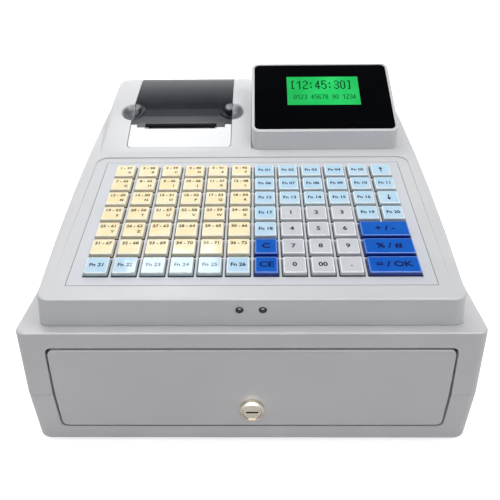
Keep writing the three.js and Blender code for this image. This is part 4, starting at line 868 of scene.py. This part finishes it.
def plate_gap_shade():
    """A thin black frame put in the gap between the keyboard plate and the housing, as painted shade that
    darkens the gap.
    """
    work = bmesh.new()
    rings = []
    inner, outer = SHADE_STRIP_PLAY, SHADE_STRIP_PLAY + SHADE_STRIP_WIDTH
    for grow, z in ((inner, SHADE_STRIP_LOW), (inner, SHADE_STRIP_TOP), (outer, SHADE_STRIP_TOP), (outer, SHADE_STRIP_LOW)):
        reach, front, back = PLATE_WIDTH / 2 + grow, PLATE_FRONT - grow, PLATE_BACK + grow
        rings.append(ring(work, PLATE_MIDDLE - reach, PLATE_MIDDLE + reach, front, back, z))
    for index, first in enumerate(rings):
        band(work, first, rings[(index + 1) % len(rings)])
    bmesh.ops.recalc_face_normals(work, faces=work.faces)
    mesh = mesh_from(work, "plate_gap_shade", black_plastic)
    mesh.transform(DECK)
    attach(link("plate_gap_shade", mesh), body_of_node("keyboard_plate"))


plate_gap_shade()

# Picture on the display

GLYPH_COLUMNS, GLYPH_ROWS = 4, 9
GLYPH_STEPS = GLYPH_COLUMNS + 1
GLYPHS = {
    "0": "0110 1001 1001 1001 1001 1001 1001 1001 0110",
    "1": "0010 0110 1010 0010 0010 0010 0010 0010 0010",
    "2": "0110 1001 0001 0001 0010 0100 1000 1000 1111",
    "3": "0110 1001 0001 0001 0110 0001 0001 1001 0110",
    "4": "0010 0010 0110 0110 1010 1010 1111 0010 0010",
    "5": "1111 1000 1000 1110 1001 0001 0001 1001 0110",
    "6": "0110 1001 1000 1000 1110 1001 1001 1001 0110",
    "7": "1111 0001 0001 0010 0010 0010 0100 0100 0100",
    "8": "0110 1001 1001 1001 0110 1001 1001 1001 0110",
    "9": "0110 1001 1001 1001 0111 0001 0001 1001 0110",
    ":": "0000 0000 0100 0100 0000 0000 0100 0100 0000",
    "[": "0110 0100 0100 0100 0100 0100 0100 0100 0110",
    "]": "0110 0010 0010 0010 0010 0010 0010 0010 0110",
    " ": "0000 0000 0000 0000 0000 0000 0000 0000 0000",
}
# Each line of text: its left end, foot, letter step and height, as shares of the picture.
LCD_LINES = {
    "lcd_upper_line": ("[12:45:30]", 0.05, 0.55, 0.087, 0.31),
    "lcd_lower_line": ("0123 45678 90 1234", 0.09, 0.20, 0.048, 0.16),
}
DOT_WIDTH_SHARE, DOT_HEIGHT_SHARE = 1.12, 1.1


def dot_places(text, left, low, step_x, step_y):
    """Places of the dark dots of a line of text, with one empty column after each letter."""
    made = []
    for index, letter in enumerate(text):
        for row, bits in enumerate(GLYPHS[letter].split()):
            y = low + (GLYPH_ROWS - row - 0.5) * step_y
            for column, bit in enumerate(bits):
                if bit == "1":
                    made.append((left + (index * GLYPH_STEPS + column + 0.5) * step_x, y, 0))
    return made


def dot_tree():
    """A small square on each given place."""
    t = Tree("lcd_dots")
    width = t.size("Dot width", 1 * MM)
    height = t.size("Dot height", 1 * MM)
    material = t.material("Material")
    square = t.node("GeometryNodeMeshGrid", Size_X=width, Size_Y=height, Vertices_X=2, Vertices_Y=2)
    dots_made = t.on_places(square.outputs["Mesh"])
    return t.finish(t.node("GeometryNodeSetMaterial", Geometry=dots_made, Material=material).outputs[0])


def lcd_text(name, text, left_share, low_share, advance_share, height_share):
    step_x = advance_share * (LCD_RIGHT - LCD_LEFT) / GLYPH_STEPS
    step_y = height_share * (LCD_HIGH - LCD_LOW) / GLYPH_ROWS
    left = LCD_LEFT + left_share * (LCD_RIGHT - LCD_LEFT)
    low = LCD_LOW + low_share * (LCD_HIGH - LCD_LOW)
    width, height = step_x * DOT_WIDTH_SHARE, step_y * DOT_HEIGHT_SHARE
    places = dot_places(text, left, low, step_x, step_y)
    mesh = from_tree(dots, places, name, Dot_width=width, Dot_height=height, Material=lcd_mark)
    mesh.transform(POD @ Matrix.Translation((0, 0, GLASS_FACE + DOT_FACE)))
    attach(link(name, mesh), "cabinet")


def lcd_picture():
    """The lit face of the display, a hair above its glass."""
    work = bmesh.new()
    low_ring, high_ring = (ring(work, LCD_LEFT, LCD_RIGHT, LCD_LOW, LCD_HIGH, GLASS_FACE + z)
                           for z in (PICTURE_FOOT, PICTURE_FACE))
    work.faces.new(high_ring)
    work.faces.new(list(reversed(low_ring)))
    band(work, low_ring, high_ring)
    mesh = mesh_from(work, "lcd_picture", lcd_green)
    mesh.transform(POD)
    attach(link("lcd_picture", mesh), "cabinet")


dots = dot_tree()
for name, line in LCD_LINES.items():
    lcd_text(name, *line)
lcd_picture()

# Floor

FLOOR_HALF, FLOOR_ROUGHNESS, FLOOR_PATCH_MM = 6.0, 0.9, 400
FLOOR_NEAR, FLOOR_FAR, GLOW_NEAR, GLOW_FAR = 0.2, 1.2, 0.74, 0.97


def floor_material():
    """Pale floor that keeps the shadow; to the eye it is near white, and more so away from the object."""
    material, tree, shader = new_material("studio_floor")
    dark, light = (0.84, 0.84, 0.85, 1), (0.86, 0.86, 0.87, 1)
    uneven_tone(tree, shader.inputs["Base Color"], FLOOR_PATCH_MM, dark, light)
    shader.inputs["Roughness"].default_value = FLOOR_ROUGHNESS
    shader.inputs["Emission Color"].default_value = (1, 1, 1, 1)
    away = distance(tree, own_place(tree))
    level = remap(tree, away, FLOOR_NEAR, FLOOR_FAR, GLOW_NEAR, GLOW_FAR, "SMOOTHSTEP")
    seen = add(tree, "ShaderNodeLightPath").outputs["Is Camera Ray"]
    tree.links.new(calc(tree, "MULTIPLY", seen, level), shader.inputs["Emission Strength"])
    return material


floor_mesh = bpy.data.meshes.new("studio_floor")
floor_corners = [(x * FLOOR_HALF, y * FLOOR_HALF, 0) for x, y in ((-1, -1), (1, -1), (1, 1), (-1, 1))]
floor_mesh.from_pydata(floor_corners, [], [(0, 1, 2, 3)])
floor_mesh.materials.append(floor_material())
link("studio_floor", floor_mesh)

# Studio: white to the camera, one plain level for diffuse light, and a room of its own in mirrors

AMBIENT_LEVEL = 0.325
# Level of the mirrored room by the height of the direction looked at, from the floor to the dark ceiling.
MIRRORED_ROOM = ((0.0, 1.0), (0.44, 1.2), (0.52, 1.45), (0.58, 0.95), (0.62, 0.55), (0.66, 0.34),
                 (0.69, 0.16), (0.72, 0.06), (1.0, 0.02))
# A bright cloth over the left half of that ceiling: the share of its level by the same height.
CLOTH_SHARE = ((0.0, 0.0), (0.73, 0.0), (0.78, 0.14), (0.83, 0.38), (0.90, 0.88), (1.0, 1.0))
CLOTH_LEVEL, CLOTH_EDGE, CLOTH_INSIDE = 3.4, -0.01, -0.07
# A bright wall before the object, above the floor, which its rounded front edges mirror.
WALL_LEVEL, WALL_EDGE, WALL_INSIDE = 6.5, -0.12, -0.3
WALL_FOOT, WALL_SILL = 0.42, 0.62


def studio_world():
    world = bpy.data.worlds.new("studio")
    world.use_nodes = True
    # Mirrored rays see the room as it is; it isn't sampled as a lamp.
    world.cycles.sampling_method = "NONE"
    tree = world.node_tree
    background = tree.nodes["Background"]
    background.inputs["Color"].default_value = (0.98, 0.985, 1.0, 1)
    direction = add(tree, "ShaderNodeSeparateXYZ")
    tree.links.new(add(tree, "ShaderNodeTexCoord").outputs["Generated"], direction.inputs[0])
    x, y, z = direction.outputs

    def by_height(stops):
        return colour_ramp(tree, z, [(place, (level, level, level, 1)) for place, level in stops], "EASE")

    cloth = remap(tree, x, CLOTH_EDGE, CLOTH_INSIDE, 0.0, CLOTH_LEVEL, "SMOOTHSTEP")
    room = calc(tree, "MULTIPLY_ADD", cloth, by_height(CLOTH_SHARE), by_height(MIRRORED_ROOM))
    wall = remap(tree, y, WALL_EDGE, WALL_INSIDE, 0.0, WALL_LEVEL, "SMOOTHSTEP")
    wall_share = remap(tree, z, WALL_FOOT, WALL_SILL, kind="SMOOTHSTEP")
    room = calc(tree, "MULTIPLY_ADD", wall, wall_share, room)

    path = add(tree, "ShaderNodeLightPath").outputs
    mirrored = calc(tree, "MAXIMUM", path["Is Glossy Ray"], path["Is Transmission Ray"])
    level = add(tree, "ShaderNodeMix", data_type="FLOAT")
    for key, value in (("Factor", mirrored), ("A", AMBIENT_LEVEL), ("B", room)):
        feed(tree, level.inputs[key], value)
    shown = calc(tree, "MAXIMUM", level.outputs["Result"], path["Is Camera Ray"])
    tree.links.new(shown, background.inputs["Strength"])
    return world


bpy.context.scene.world = studio_world()


def soft_lamp(name, place, aim, size, watts, mirrored=True, lighting=True):
    """A softbox; it can be flagged off from mirroring surfaces, or else be there for them alone."""
    lamp = bpy.data.lights.new(name, "AREA")
    lamp.shape = "RECTANGLE"
    lamp.size, lamp.size_y = size
    lamp.energy = watts
    softbox = link(name, lamp)
    softbox.visible_glossy = mirrored
    softbox.visible_diffuse = lighting
    softbox.visible_camera = False
    softbox.location = place
    softbox.rotation_euler = (Vector(aim) - Vector(place)).to_track_quat("-Z", "Y").to_euler()


OBJECT_MIDDLE = (0, 0, 0.1)
LEFT_KEYS, HUMP = (-0.06, -0.12, 0.12), (-0.1, 0.04, 0.18)
soft_lamp("overhead_softbox", (0, 0.1, 1.6), OBJECT_MIDDLE, (1.0, 0.8), 6.7, mirrored=False)
soft_lamp("rear_left_softbox", (-0.5, 0.6, 1.4), OBJECT_MIDDLE, (0.7, 0.6), 5.2, mirrored=False)
soft_lamp("sheen_strip", (-0.135, 0.2, 0.576), LEFT_KEYS, (0.15, 0.045), 0.126, lighting=False)
soft_lamp("right_softbox", (0.8, -0.3, 1.4), OBJECT_MIDDLE, (0.7, 0.7), 6.2)
soft_lamp("printer_fill", (-0.36, 0.2, 0.46), HUMP, (0.2, 0.2), 0.17, mirrored=False)
soft_lamp("back_softbox", (0, 1.4, 1.3), OBJECT_MIDDLE, (1.4, 0.7), 4.6, mirrored=False)

# Camera

CAMERA_PLACE = Vector((0.0041, -0.4526858541, 0.3355))
CAMERA_PITCH, CAMERA_YAW, CAMERA_ROLL = (math.radians(angle) for angle in (30.35, -0.784, -0.572))
PHOTO_WIDTH_PX, FOCAL_PX, SENSOR_MM = 500, 574.83, 36.0
CLIP_NEAR, CLIP_FAR = 0.01, 50


def photo_camera():
    """The camera of the photo; its pitch is down from level, its yaw to the right."""
    forward = Vector((math.sin(CAMERA_YAW) * math.cos(CAMERA_PITCH),
                      math.cos(CAMERA_YAW) * math.cos(CAMERA_PITCH), -math.sin(CAMERA_PITCH)))
    level_right = Vector((math.cos(CAMERA_YAW), -math.sin(CAMERA_YAW), 0))
    level_up = level_right.cross(forward)
    right = math.cos(CAMERA_ROLL) * level_right + math.sin(CAMERA_ROLL) * level_up
    up = -math.sin(CAMERA_ROLL) * level_right + math.cos(CAMERA_ROLL) * level_up
    data = bpy.data.cameras.new("camera")
    data.sensor_width = SENSOR_MM
    data.lens = SENSOR_MM * FOCAL_PX / PHOTO_WIDTH_PX
    data.clip_start, data.clip_end = CLIP_NEAR, CLIP_FAR
    camera = link("camera", data)
    turn = Matrix((right, up, -forward)).transposed().to_4x4()
    camera.matrix_world = Matrix.Translation(CAMERA_PLACE) @ turn
    return camera


bpy.context.scene.camera = photo_camera()
bpy.context.scene.view_settings.view_transform = "Standard"
